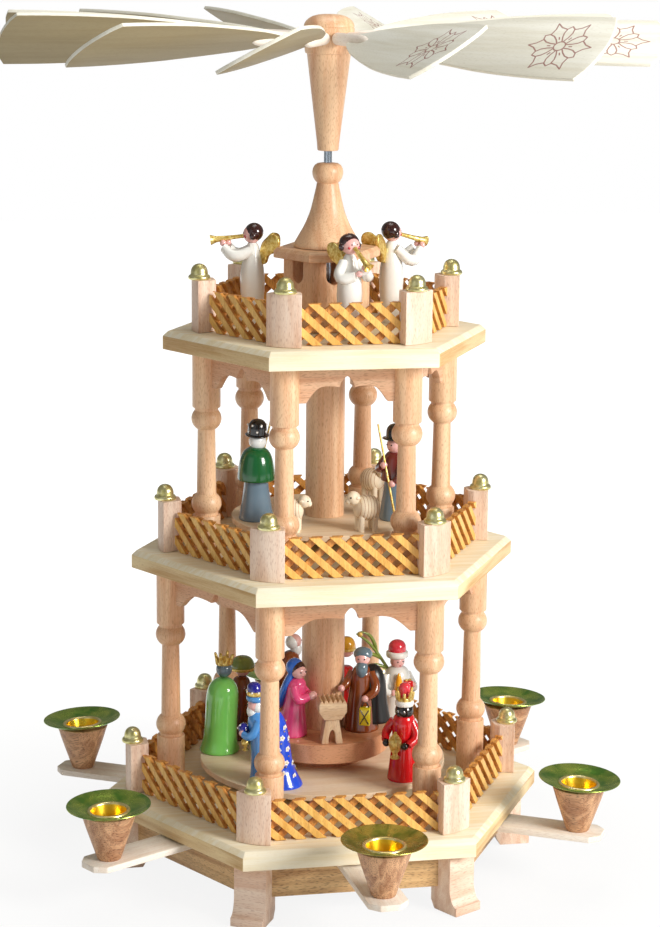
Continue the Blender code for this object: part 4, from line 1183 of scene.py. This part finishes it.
def makeServant():
    # white robe, red cap with a white rim, two gifts, and a palm over the right shoulder
    robe = turnCloth([
        (9.0, 0), (9.4, 0.7), (9.0, 3), (8.2, 9), (7.6, 16), (7.3, 23), (7.4, 29), (6.9, 33),
        (5.4, 36), (3.2, 37.4)], (0.01, 0.02), (0, 0.6))
    head = (0.8, 1.0, 40.4)
    rim = turnCloth([(4.6, 42.4), (5.7, 42.9), (6.1, 44.3), (5.8, 45.6), (4.6, 46.2)],
                    centre=(0.4, 1.0))
    cap = turnCloth([(4.8, 45.8), (4.9, 47.4), (4.6, 49.4), (3.4, 51.2), (1.6, 52.1),
                     (0.5, 52.3)], centre=(0.4, 1.0))
    candle = turnCloth([(1.6, 24.0), (2.3, 25.0), (2.4, 28.0), (1.9, 31.0), (1.0, 34.4),
                        (0.4, 35.6)], centre=(7.8, -1.6))
    box = block((4.4, 4.4, 5.2), (8.6, 3.6, 28.6))
    roundEdges(box, 0.5)
    bow = joinUp([ball((8.6, 3.6 + side * 1.0, 31.6), (0.7, 1.1, 0.6), 10)
                  for side in (-1, 1)])
    parts = [
        ("Robe", robe, "robeWhite"), ("Head", ball(head, 4.0, 20), "skinPink"),
        ("Rim", rim, "bandWhite"), ("Cap", cap, "capRed"), ("Candle", candle, "flameOrange"),
        ("Box", box, "robeRed"), ("Bow", bow, "gilt")]
    parts += makeArm([(0.6, 6.6, 33, 2.6), (3.6, 9.4, 26, 2.5), (7.6, 7.4, 27, 2.0)], "Left",
                     "robeWhite", (8.6, 6.6, 28.6), "skinPink")
    parts += makeArm([(0.6, -5.4, 33, 2.6), (3.6, -8.4, 26, 2.5), (6.8, -5.6, 24, 2.0)],
                     "Right", "robeWhite", (7.6, -4.6, 25), "skinPink")
    parts += makeFace(head, 4.05)
    placeFigure("servant", (33, -75, *lowerRing), parts, nodes=["servant_white"])
    fronds = (
        [(-3, -3, 36), (-4, -9, 45), (-4, -15, 52), (-4, -21.5, 57)],
        [(-4, -9, 45), (-4, -10.5, 50), (-4, -14, 55.5), (-4, -19, 58)],
        [(-4, -6, 41), (-4, -12, 44.5), (-4, -17, 45), (-4, -20, 43)],
        [(-3, -3, 36), (-4, -9, 38), (-4, -13, 38), (-4, -16, 35.5)])
    palm = []
    for number, line in enumerate(fronds):
        shares = (0.7, 1.1, 0.9, 0.35) if number else (0.8, 0.9, 0.8, 0.4)
        palm.append(bend([(*point, share) for point, share in zip(line, shares)]))
    knot = ball((-4, -19.5, 56.5), 1.6, 12)
    placeFigure("palm", (33, -75, *lowerRing), [
        ("Leaves", joinUp(palm), "robeOlive"), ("Bud", knot, "gilt")])


def makeMary():
    # pink dress and clasped hands, with a blue veil that falls down her back
    dress = turnCloth([
        (8.1, 0), (8.5, 0.7), (8.1, 3), (7.2, 8), (6.2, 13), (5.5, 18), (5.3, 22), (5.3, 26),
        (4.5, 29), (2.6, 31)], (0.10, 0))
    head = (4.3, -0.7, 34.5)
    drape = ball((0, 0, 0), (2.8, 5.6, 13.5), 24)
    move(drape, shift(-2.8, 0.6, 24.5) @ swing(22, "Y"))
    hood = ball((1.6, 0.6, 36.2), (4.6, 4.8, 4.9), 24)
    parts = [
        ("Dress", dress, "dressPink"), ("Head", ball(head, 4.0, 20), "skinPink"),
        ("Hair", ball((3.2, 0.1, 35.7), (4.3, 4.45, 4.3), 20), "hairBrown"),
        ("Hood", hood, "veilBlue"), ("Veil", drape, "veilBlue")]
    parts += makeArm([(3.0, 4.4, 27, 2.4), (6.0, 5.6, 21, 2.8), (10.0, 1.8, 21.6, 2.2)], "Left",
                     "dressPink", (11.6, 0.8, 22.0), "skinPink", 2.3)
    parts += makeArm([(3.0, -4.4, 27, 2.4), (6.0, -5.6, 21, 2.8), (10.0, -1.8, 21.6, 2.2)],
                     "Right", "dressPink", (11.6, -1.0, 22.0), "skinPink", 2.3)
    parts += makeFace(head, 4.15, -32)
    placeFigure("mary", (-146, -30, *stageRing), parts, nodes=["mary"])


def makeJoseph():
    # brown robe, black cloak on one shoulder, grey hair and beard, and a yellow lantern
    robe = turnCloth([
        (8.9, 0), (9.3, 0.7), (9.0, 3), (8.2, 9), (7.3, 15), (6.5, 21), (6.0, 26), (5.6, 30),
        (4.2, 33), (2.4, 34.4)], centre=(0.4, -2.0))
    cloak = turnCloth([
        (7.6, 4), (8.2, 4.6), (7.6, 9), (6.9, 15), (6.7, 21), (6.4, 26), (5.2, 30.5),
        (3.0, 33.6), (1.2, 34.6)], (0, -0.05), (-2.2, 5.0))
    head = (1.4, -1.6, 38.4)
    hair = ball((0.1, -1.6, 40.5), (4.5, 5.0, 3.7), 22)
    beard = turnCloth([(0.6, 28.4), (1.9, 29.6), (2.9, 31.6), (3.2, 34), (2.7, 36), (1.4, 37)],
                      (-0.1, 0), (7.4, -1.6))
    lamp = (11.0, 1.4, 10.2)
    lantern = block((4.6, 5.6, 9.4), lamp)
    roundEdges(lantern, 0.4)
    bars = []
    for x in (lamp[0] - 2.35, lamp[0] + 2.35):
        for side in (-1, 1):
            bars.append(rod((x, lamp[1] - 2.2 * side, lamp[2] - 3.8),
                            (x, lamp[1] + 2.2 * side, lamp[2] + 3.8), 0.28, steps=6))
    bail = bend([(lamp[0], lamp[1] - 2, lamp[2] + 4.4, 0.35), (lamp[0], lamp[1], lamp[2] + 7.4,
                 0.35), (lamp[0], lamp[1] + 2, lamp[2] + 4.4, 0.35)])
    bars.append(bail)
    parts = [
        ("Robe", robe, "robeBrown"), ("Cloak", cloak, "cloakBlack"),
        ("Head", ball(head, 4.0, 20), "skinPink"), ("Hair", hair, "hairGrey"),
        ("Beard", beard, "hairGrey"), ("Lantern", lantern, "lampYellow"),
        ("LanternBars", joinUp(bars), "hatBlack")]
    parts += makeArm([(1.0, 3.0, 31, 2.4), (5.4, 5.8, 23, 2.5), (9.2, 2.0, 19.4, 2.0)], "Left",
                     "robeBrown", (10.4, 1.2, 19.2), "skinPink", 1.9)
    parts += makeArm([(1.0, -6.6, 31, 2.4), (3.6, -9.6, 25, 2.3), (7.6, -11.4, 23.4, 1.8)],
                     "Right", "robeBrown", (8.6, -11.6, 23.6), "skinPink", 1.9)
    parts += makeFace(head, 4.1)
    placeFigure("joseph", (-25, -110, *stageRing), parts, nodes=["joseph"])


def makeHat(centre, brim, crown, low, high, tilt):
    # a felt hat: a thin curled brim and a rounded crown
    tall = high - low
    piece = turnOnLathe(curvePoints([
        (crown * 0.8, 0), (crown, 0.1), (brim * 0.94, -0.1), (brim, 0.35), (brim * 0.94, 0.8),
        (crown * 1.06, 1.0), (crown * 1.04, tall * 0.45), (crown * 0.92, tall * 0.72),
        (crown * 0.62, tall * 0.92), (crown * 0.2, tall)], 2), figureSteps)
    return move(piece, shift(centre[0], centre[1], low) @ swing(tilt, "Y"))


def makeShepherd(name, look):
    hem = look["hem"]
    skirt = turnCloth([
        (hem - 0.4, 0), (hem, 0.7), (hem * 0.97, 3), (hem * 0.86, 9), (hem * 0.75, 15),
        (hem * 0.68, 20), (hem * 0.6, 22.5)])
    coat = turnCloth(look["coat"])
    head = look["head"]
    crown = look["crown"]
    hat = makeHat(head, look["brim"], crown, head[2] + 3.0, look["hatTop"], look["tilt"])
    parts = [
        ("Skirt", skirt, "skirtGrey"), ("Coat", coat, look["coatColour"]),
        ("Head", ball(head, 4.3, 20), "skinPink"), ("Hat", hat, "hatBlack"),
        ("Staff", rod(look["staff"][0], look["staff"][1], 0.62, 0.5, 10, 1), "gilt")]
    if look["hair"]:
        parts.append(("Hair", ball((head[0] - 0.5, head[1], head[2] - 0.1), 4.5, 20),
                      look["hair"]))
        spots = [onBall((head[0], head[1], head[2] + 8.0), crown, 60 * k, 8)
                 for k in range(6)]
        spots += [onBall((head[0], head[1], head[2] + 5.4), crown * 1.1, 60 * k + 30, 0)
                  for k in range(6)]
        parts.append(("HatDots", dots(spots, 0.62), "bandWhite"))
    parts += makeFace(head, 4.35)
    for label, points, hand in look["arms"]:
        parts += makeArm(points, label, look["coatColour"], hand, "skinPink", 1.9)
    placeFigure(name, look["spot"], parts, nodes=[look["node"]])


shepherdLooks = {
    "shepherdGreen": {
        "node": "shepherd_green", "spot": (-172, 110, *upperRing),
        "hem": 8.9, "coatColour": "coatGreen", "hair": "hairWhite", "head": (0.3, -0.6, 40.6),
        "brim": 6.2, "crown": 4.7, "hatTop": 52.2, "tilt": -5,
        "coat": [(8.0, 20.4), (9.4, 20.8), (9.6, 22.6), (9.2, 27), (8.2, 32), (6.2, 35.8),
                 (3.3, 37.8)],
        "staff": ((6.6, 0.4, 1.0), (7.6, -13.0, 50.0)),
        "arms": [("Left", [(1, 5.4, 31, 2.4), (4.6, 5.6, 26, 2.3), (8.0, 2.6, 25.4, 1.8)],
                  (8.6, 1.8, 25.6)),
                 ("Right", [(1, -6.4, 31, 2.4), (4.4, -9.2, 27.6, 2.3), (7.0, -7.4, 29, 1.8)],
                  (7.4, -7.0, 29.4))]},
    "shepherdBrown": {
        "node": "shepherd_brown", "spot": (-25, -150, *upperRing),
        "hem": 8.0, "coatColour": "coatUmber", "hair": None, "head": (0.8, 0.4, 38.9),
        "brim": 6.6, "crown": 4.6, "hatTop": 50.0, "tilt": -3,
        "coat": [(6.0, 20.2), (7.2, 20.6), (7.3, 23), (6.9, 28), (6.0, 32), (4.4, 34.6),
                 (2.4, 35.6)],
        "staff": ((8.8, 9.6, 5.0), (8.4, -4.2, 49.6)),
        "arms": [("Left", [(0.6, 6.2, 31, 2.4), (3.6, 8.2, 25, 2.3), (6.4, 6.6, 21, 1.8)],
                  (7.4, 5.8, 20.4)),
                 ("Right", [(0.6, -6.2, 31, 2.4), (4.0, -7.4, 26, 2.3), (7.8, -1.6, 28, 1.8)],
                  (8.6, 0.8, 29.4))]}}


sheepLook = {"barrel": 6.5, "half": 6.6, "level": 11.8}
sheepPlaces = (("frontSheep", (-73, -170, 40.5, 184.6), 1.0),
               ("leftSheep", (-122, -20, 40.5, 184.6), 0.9),
               ("backSheep", (39, -48, 42.0, 184.6), 0.95))


def makeSheep(name, spot, size):
    # a turned barrel with burnt rings, a ball for the head, and four pegs
    look = sheepLook
    body, rings = [], []
    lay = shift(-2.4, 0, look["level"]) @ swing(86, "Y")
    for k in range(25):
        t = -1 + 2 * k / 24
        swell = look["barrel"] * sqrt(max(0.0, 1 - (abs(t) * 0.97) ** 2.8))
        groove = 0.97 if k % 3 == 0 else 1.0
        body.append((max(0.3, swell * groove), look["half"] * t))
        if k % 3 == 0 and 0 < k < 24:
            deselect()
            bpy.ops.mesh.primitive_torus_add(
                major_radius=swell * 0.98 * mm, minor_radius=0.13 * mm, major_segments=24,
                minor_segments=5)
            rings.append(move(bpy.context.object, lay @ shift(0, 0, look["half"] * t)))
    barrel = move(turnOnLathe(body, 24), lay)
    legs = []
    for x in (-5.8, 1.4):
        for y in (-2.8, 2.8):
            legs.append(rod((x, y, 0), (x, y, 9.0), 1.4, 1.6, 12))
    head = (5.0, 0, 17.2)
    ears = joinUp([ball((head[0] - 1.3, side * 3.1, head[2] + 0.5), (1.5, 0.8, 1.0), 12)
                   for side in (-1, 1)])
    eyes = dots([onBall(head, 3.55, side * 48, 12) for side in (-1, 1)], 0.5)
    parts = [
        ("Body", barrel, "sheepLime"), ("Rings", joinUp(rings), "sheepBrown"),
        ("Legs", joinUp(legs), "sheepLime"),
        ("Head", ball(head, (3.7, 3.5, 3.6), 20), "sheepLime"),
        ("Snout", ball((head[0] + 2.3, 0, head[2] - 1.3), (2.0, 1.9, 1.8), 14), "sheepLime"),
        ("Ears", ears, "sheepLime"), ("Eyes", eyes, "hatBlack")]
    for label, piece, colour in parts:
        move(piece, Matrix.Scale(size, 4))
    placeFigure(name, spot, parts)


def makeCrib():
    # raw wood: a trough with a fluted top on a board with splayed legs and an arched cut
    top = []
    for k in range(37):
        x = 7.2 - 14.4 * k / 36
        top.append((x, 22.6 + 1.7 * abs(sin(radians(180 * 6 * k / 36)))
                    - 1.2 * (abs(x) / 7.2) ** 4))
    trough = sawBoard([(-4.5, 13.6), (4.5, 13.6), (7.2, 17.6)] + top + [(-7.2, 17.6)], 12.0,
                      0.35)
    arch = [(-2.0, 0)] + [(2.0 * cos(radians(a)), 7.6 * sin(radians(a)))
                          for a in range(150, 20, -20)] + [(2.0, 0)]
    legs = sawBoard([(-5.6, 0)] + arch + [(5.6, 0), (3.3, 14.0), (-3.3, 14.0)], 8.0, 0.3)
    stand = upright(28.7, -92, 70.5)
    for label, piece, along in (("cribTrough", trough, "X"), ("cribLegs", legs, "Y")):
        rememberGrain(piece, along)
        finish(move(piece, stand), label, "rotor", woods["cribLime"], sharp=30)


def makeBackFigures():
    # three helpers behind the stage, of which little shows between the columns
    elder = turnCloth([
        (8.8, 0), (9.2, 0.7), (8.8, 3), (7.8, 9), (6.9, 16), (6.4, 23), (6.2, 30), (5.6, 36),
        (4.2, 39.6), (2.4, 41)], (0.17, 0), (3.0, 0))
    head = (12.0, 0, 46.4)
    parts = [
        ("Cloak", elder, "robeBrown"), ("Head", ball(head, 4.0, 20), "skinPink"),
        ("Beard", ball((13.0, 0, 42.0), (3.2, 3.6, 4.6), 18), "hairWhite"),
        ("Hair", ball((10.8, 0, 46.0), (3.9, 4.1, 3.9), 18), "hairWhite")]
    parts += makeArmPair([(7.0, 5.4, 36, 2.4), (11.0, 6.2, 30, 2.3), (14.4, 2.4, 28.8, 1.8)],
                         "robeBrown", (15.2, 1.6, 29))
    parts += makeFace(head, 4.05)
    placeFigure("elder", (108, 18, *lowerRing), parts)
    for name, spot, forward, tall, wide, robe, cap in (
            ("porter", (66, -24, *lowerRing), 0.6, 45.0, 5.0, "robeRed", "fruitGold"),
            ("page", (138, 48, *lowerRing), 6.0, 39.4, 6.6, "robeBrown", "robeOlive")):
        body = turnCloth([
            (8.6, 0), (9.0, 0.7), (8.5, 3), (7.6, 9), (6.8, 16), (6.3, 22), (5.8, 27),
            (4.4, 31), (2.6, 32.6)], (forward / 40, 0))
        head = (forward, 0, tall - 3.2)
        hood = turnCloth([
            (wide * 0.9, tall - 2.2), (wide, tall - 1.6), (wide * 0.98, tall),
            (wide * 0.8, tall + 2.4), (wide * 0.5, tall + 3.9), (wide * 0.15, tall + 4.4)],
            centre=(forward, 0))
        band = turnCloth([
            (wide * 0.9, tall - 3.4), (wide * 1.02, tall - 3.0), (wide * 1.02, tall - 1.9),
            (wide * 0.9, tall - 1.5)], centre=(forward, 0))
        parts = [
            ("Robe", body, robe), ("Head", ball(head, 4.0, 20), "skinPink"),
            ("Cap", hood, cap), ("Band", band, "gilt")]
        parts += makeArmPair([(2.0, 5.2, 28, 2.3), (6.0, 6.4, 22, 2.2), (9.8, 2.4, 21.4, 1.8)],
                             robe, (10.6, 1.6, 21.6))
        parts += makeFace(head, 4.05)
        placeFigure(name, spot, parts)


def makeWings(sweep):
    # two rounded gilt wings, each like half a heart, spread behind the shoulders
    wings = []
    outline = curvePoints([
        (0.6, 30.5), (3.4, 31.5), (5.0, 35.0), (8.2, 36.6), (11.0, 40.0), (10.4, 43.6),
        (7.2, 44.6), (4.0, 42.6), (1.4, 40.4), (0.2, 37.0), (0.2, 33.0)], 4)
    for side in (1, -1):
        wing = sawBoard(outline, 1.8, 0.6, 3)
        spread = swing(sweep) @ Matrix.Scale(1.12, 4) @ shift(0, 0, -38)
        move(wing, shift(-4.0, 0, 38) @ Matrix.Scale(side, 4, (0, 1, 0)) @ spread @ upended)
        if side == -1:
            editAll(wing)
            bpy.ops.mesh.flip_normals()
            bpy.ops.object.mode_set(mode="OBJECT")
        wings.append(wing)
    return joinUp(wings)


def makeAngel(name, look):
    # an egg-shaped body, bent sleeves with wide cuffs, and a gilt horn at the mouth
    gown = turnCloth([
        (4.2, -1.5), (4.7, -0.9), (5.2, 5), (5.8, 12), (6.3, 19), (6.2, 24), (5.6, 29),
        (4.6, 33), (3.9, 36), (3.3, 38.8), (2.2, 40.8)])
    head = (0.2, 0, 45.2)
    mouth, bell = Vector((4.6, 0, 44.2)), Vector(look["bell"])
    along = (bell - mouth).length
    horn = turnOnLathe([
        (1.1, 0), (1.2, 0.4), (1.0, 1.2), (1.2, along * 0.5), (1.7, along * 0.84),
        (2.6, along * 0.98), (2.8, along), (2.4, along), (1.5, along * 0.86)], 24)
    aim = (bell - mouth).to_track_quat("Z", "Y").to_matrix().to_4x4()
    move(horn, Matrix.Translation(mouth * mm) @ aim)
    parts = [
        ("Gown", gown, "angelWhite"), ("Head", ball(head, 4.7, 22), "skinPink"),
        ("Hair", ball((-0.8, 0, 46.2), (4.85, 5.2, 4.8), 22), "hairBrown"),
        ("Curls", joinUp([ball((-0.2, side * 4.7, 44.6), (1.8, 1.5, 2.1), 14)
                          for side in (-1, 1)]), "hairBrown"),
        ("Cheeks", dots([onBall(head, 4.4, side * 38, -12) for side in (-1, 1)], 0.8, 10),
         "lipRed"),
        ("Eyes", dots([onBall(head, 4.55, side * 20, 8) for side in (-1, 1)], 0.42),
         "hatBlack"),
        ("Wings", makeWings(look["sweep"]), "gilt"), ("Horn", horn, "gilt")]
    for label, points, hand in look["arms"]:
        parts += makeArm(points, label, "angelWhite", hand, "skinPink", 1.7)
    placeFigure(name, look["spot"], parts, nodes=[look["node"]], body="stand")


angelLooks = {
    "angelFront": {
        "node": "angel_front", "spot": (-84, -70, *topRing),
        "bell": (13.8, 2.6, 35.2), "sweep": 76,
        "arms": [("Left", [(0.6, 3.8, 37.4, 2.4), (4.6, 7.4, 30, 3.0), (8.6, 3.6, 33.4, 2.5)],
                  (9.6, 2.8, 35.0)),
                 ("Right", [(0.6, -3.8, 37.4, 2.4), (4.0, -7.6, 30, 3.0),
                            (9.4, -2.4, 30.8, 2.5)], (10.6, -1.0, 32.2))]},
    "angelRight": {
        "node": "angel_right", "spot": (19, 19, *topRing),
        "bell": (20.6, 0, 39.6), "sweep": 52,
        "arms": [("Left", [(0.6, 3.8, 37.4, 2.4), (8.4, 5.6, 31.4, 3.1), (15.0, 2.4, 36.2, 2.5)],
                  (16.4, 1.6, 38.4)),
                 ("Right", [(0.6, -3.8, 37.4, 2.4), (8.4, -6.2, 31, 3.1), (16.0, -2.6, 35.8,
                            2.5)], (17.4, -1.6, 38.0))]},
    "angelLeft": {
        "node": "angel_left", "spot": (160, 170, *topRing),
        "bell": (21.4, 0, 42.0), "sweep": 52,
        "arms": [("Left", [(0.6, 3.8, 37.4, 2.5), (9.0, 5.0, 34.6, 3.2), (14.6, 2.0, 38.4,
                           2.4)], (15.0, 1.0, 40.6)),
                 ("Right", [(0.6, -3.8, 37.4, 2.5), (8.0, -5.6, 34.4, 3.2),
                            (12.4, -2.2, 38.6, 2.4)], (12.4, -1.2, 40.8))]}}


makeGreenKing()
makeBlueKing()
makeRedKing()
makeServant()
makeMary()
makeJoseph()
makeCrib()
makeBackFigures()
print("lower figures made")
for name, look in shepherdLooks.items():
    makeShepherd(name, look)
for name, spot, size in sheepPlaces:
    makeSheep(name, spot, size)
for name, look in angelLooks.items():
    makeAngel(name, look)
print("upper figures made")


# Camera, light and ground

# solved from the corners of the three plates, for a picture of 660 by 927; angles in radians,
# focal length in pixels of that picture, place in metres
cameraLook = {"pitch": 0.21133, "yaw": radians(11.03041), "side": 0.00204, "roll": 0.01006,
              "focal": 2423.0, "width": 660, "place": (-0.2339, -1.2001, 0.4737)}
# distance in metres and strength of the paper's glow, and its share in what the lens sees
groundLook = {"near": (0.15, 1.0), "far": (0.7, 1.3), "share": 0.88}
# light from all round, and the white that the lens sees behind
ambientLook = {"colour": (1.0, 0.97, 0.93, 1), "strength": 0.24}
# place in metres, size in metres, power in watts, colour
lampLooks = (
    ("key", (1.1, -1.2, 0.85), 0.6, 33.0, (1.0, 0.97, 0.93)),
    ("fill", (-1.3, -1.0, 0.7), 1.2, 1.9, (0.97, 0.98, 1.0)),
    ("crown", (0.1, 0.1, 1.6), 0.8, 8.0, (1.0, 1.0, 0.98)))


def makeCamera():
    pitch, yaw, side, roll = (cameraLook[key] for key in ("pitch", "yaw", "side", "roll"))
    ahead = Vector((sin(yaw) * cos(pitch), cos(yaw) * cos(pitch), -sin(pitch)))
    ahead = (ahead * cos(side) + Vector((cos(yaw), -sin(yaw), 0)) * sin(side)).normalized()
    right = ahead.cross(Vector((0, 0, 1))).normalized()
    above = right.cross(ahead)
    x = right * cos(roll) + above * sin(roll)
    y = -right * sin(roll) + above * cos(roll)
    basis = Matrix((x, y, -ahead)).transposed().to_4x4()
    lens = bpy.data.cameras.new("view")
    lens.sensor_fit = "HORIZONTAL"
    lens.sensor_width = 36.0
    lens.lens = cameraLook["focal"] * lens.sensor_width / cameraLook["width"]
    lens.clip_start = 0.05
    camera = bpy.data.objects.new("view", lens)
    bpy.context.scene.collection.objects.link(camera)
    camera.matrix_world = Matrix.Translation(cameraLook["place"]) @ basis
    bpy.context.scene.camera = camera


def makeGround():
    # pale paper that brightens to white with the distance, so no edge shows behind
    deselect()
    bpy.ops.mesh.primitive_plane_add(size=6.0, location=(0, 0, -0.0002))
    ground = bpy.context.object
    ground.name = "ground"
    surface, tree, shader = newSurface("groundPaper")
    shader.inputs["Base Color"].default_value = hexColour("#f2f2f0")
    shader.inputs["Roughness"].default_value = 0.9
    place = addNode(tree, "ShaderNodeTexCoord").outputs["Object"]
    reach = reckon(tree, "LENGTH", place, kind="ShaderNodeVectorMath", out="Value")
    near, far = groundLook["near"], groundLook["far"]
    glow = mapRange(tree, reach, near[0], far[0], near[1], far[1])
    light = addNode(tree, "ShaderNodeEmission", {"Color": (1, 1, 1, 1), "Strength": glow})
    path = addNode(tree, "ShaderNodeLightPath").outputs
    seen = reckon(tree, "MAXIMUM", path["Is Camera Ray"], path["Is Glossy Ray"])
    share = reckon(tree, "MULTIPLY", seen, groundLook["share"])
    mix = addNode(tree, "ShaderNodeMixShader", {
        0: share, 1: shader.outputs[0], 2: light.outputs[0]})
    tree.links.new(mix.outputs[0], tree.nodes["Material Output"].inputs["Surface"])
    ground.data.materials.append(surface)


def makeLights():
    world = bpy.data.worlds.new("studio")
    bpy.context.scene.world = world
    world.use_nodes = True
    tree = world.node_tree
    tree.nodes.clear()
    path = addNode(tree, "ShaderNodeLightPath").outputs
    seen = reckon(tree, "MAXIMUM", path["Is Camera Ray"], path["Is Transmission Ray"])
    soft = addNode(tree, "ShaderNodeBackground", {
        "Color": ambientLook["colour"], "Strength": ambientLook["strength"]})
    white = addNode(tree, "ShaderNodeBackground", {"Color": (1, 1, 1, 1), "Strength": 1.0})
    mix = addNode(tree, "ShaderNodeMixShader", {0: seen, 1: soft.outputs[0], 2: white.outputs[0]})
    addNode(tree, "ShaderNodeOutputWorld", {0: mix.outputs[0]})
    for name, spot, size, power, colour in lampLooks:
        lamp = bpy.data.lights.new(name, "AREA")
        lamp.size = size
        lamp.energy = power
        lamp.color = colour
        item = bpy.data.objects.new(name, lamp)
        bpy.context.scene.collection.objects.link(item)
        item.location = spot
        aim = Vector((0, 0, 0.2)) - Vector(spot)
        item.rotation_euler = aim.to_track_quat("-Z", "Y").to_euler()


makeCamera()
makeGround()
makeLights()
bpy.context.scene.view_settings.view_transform = "Standard"
print("scene ready")
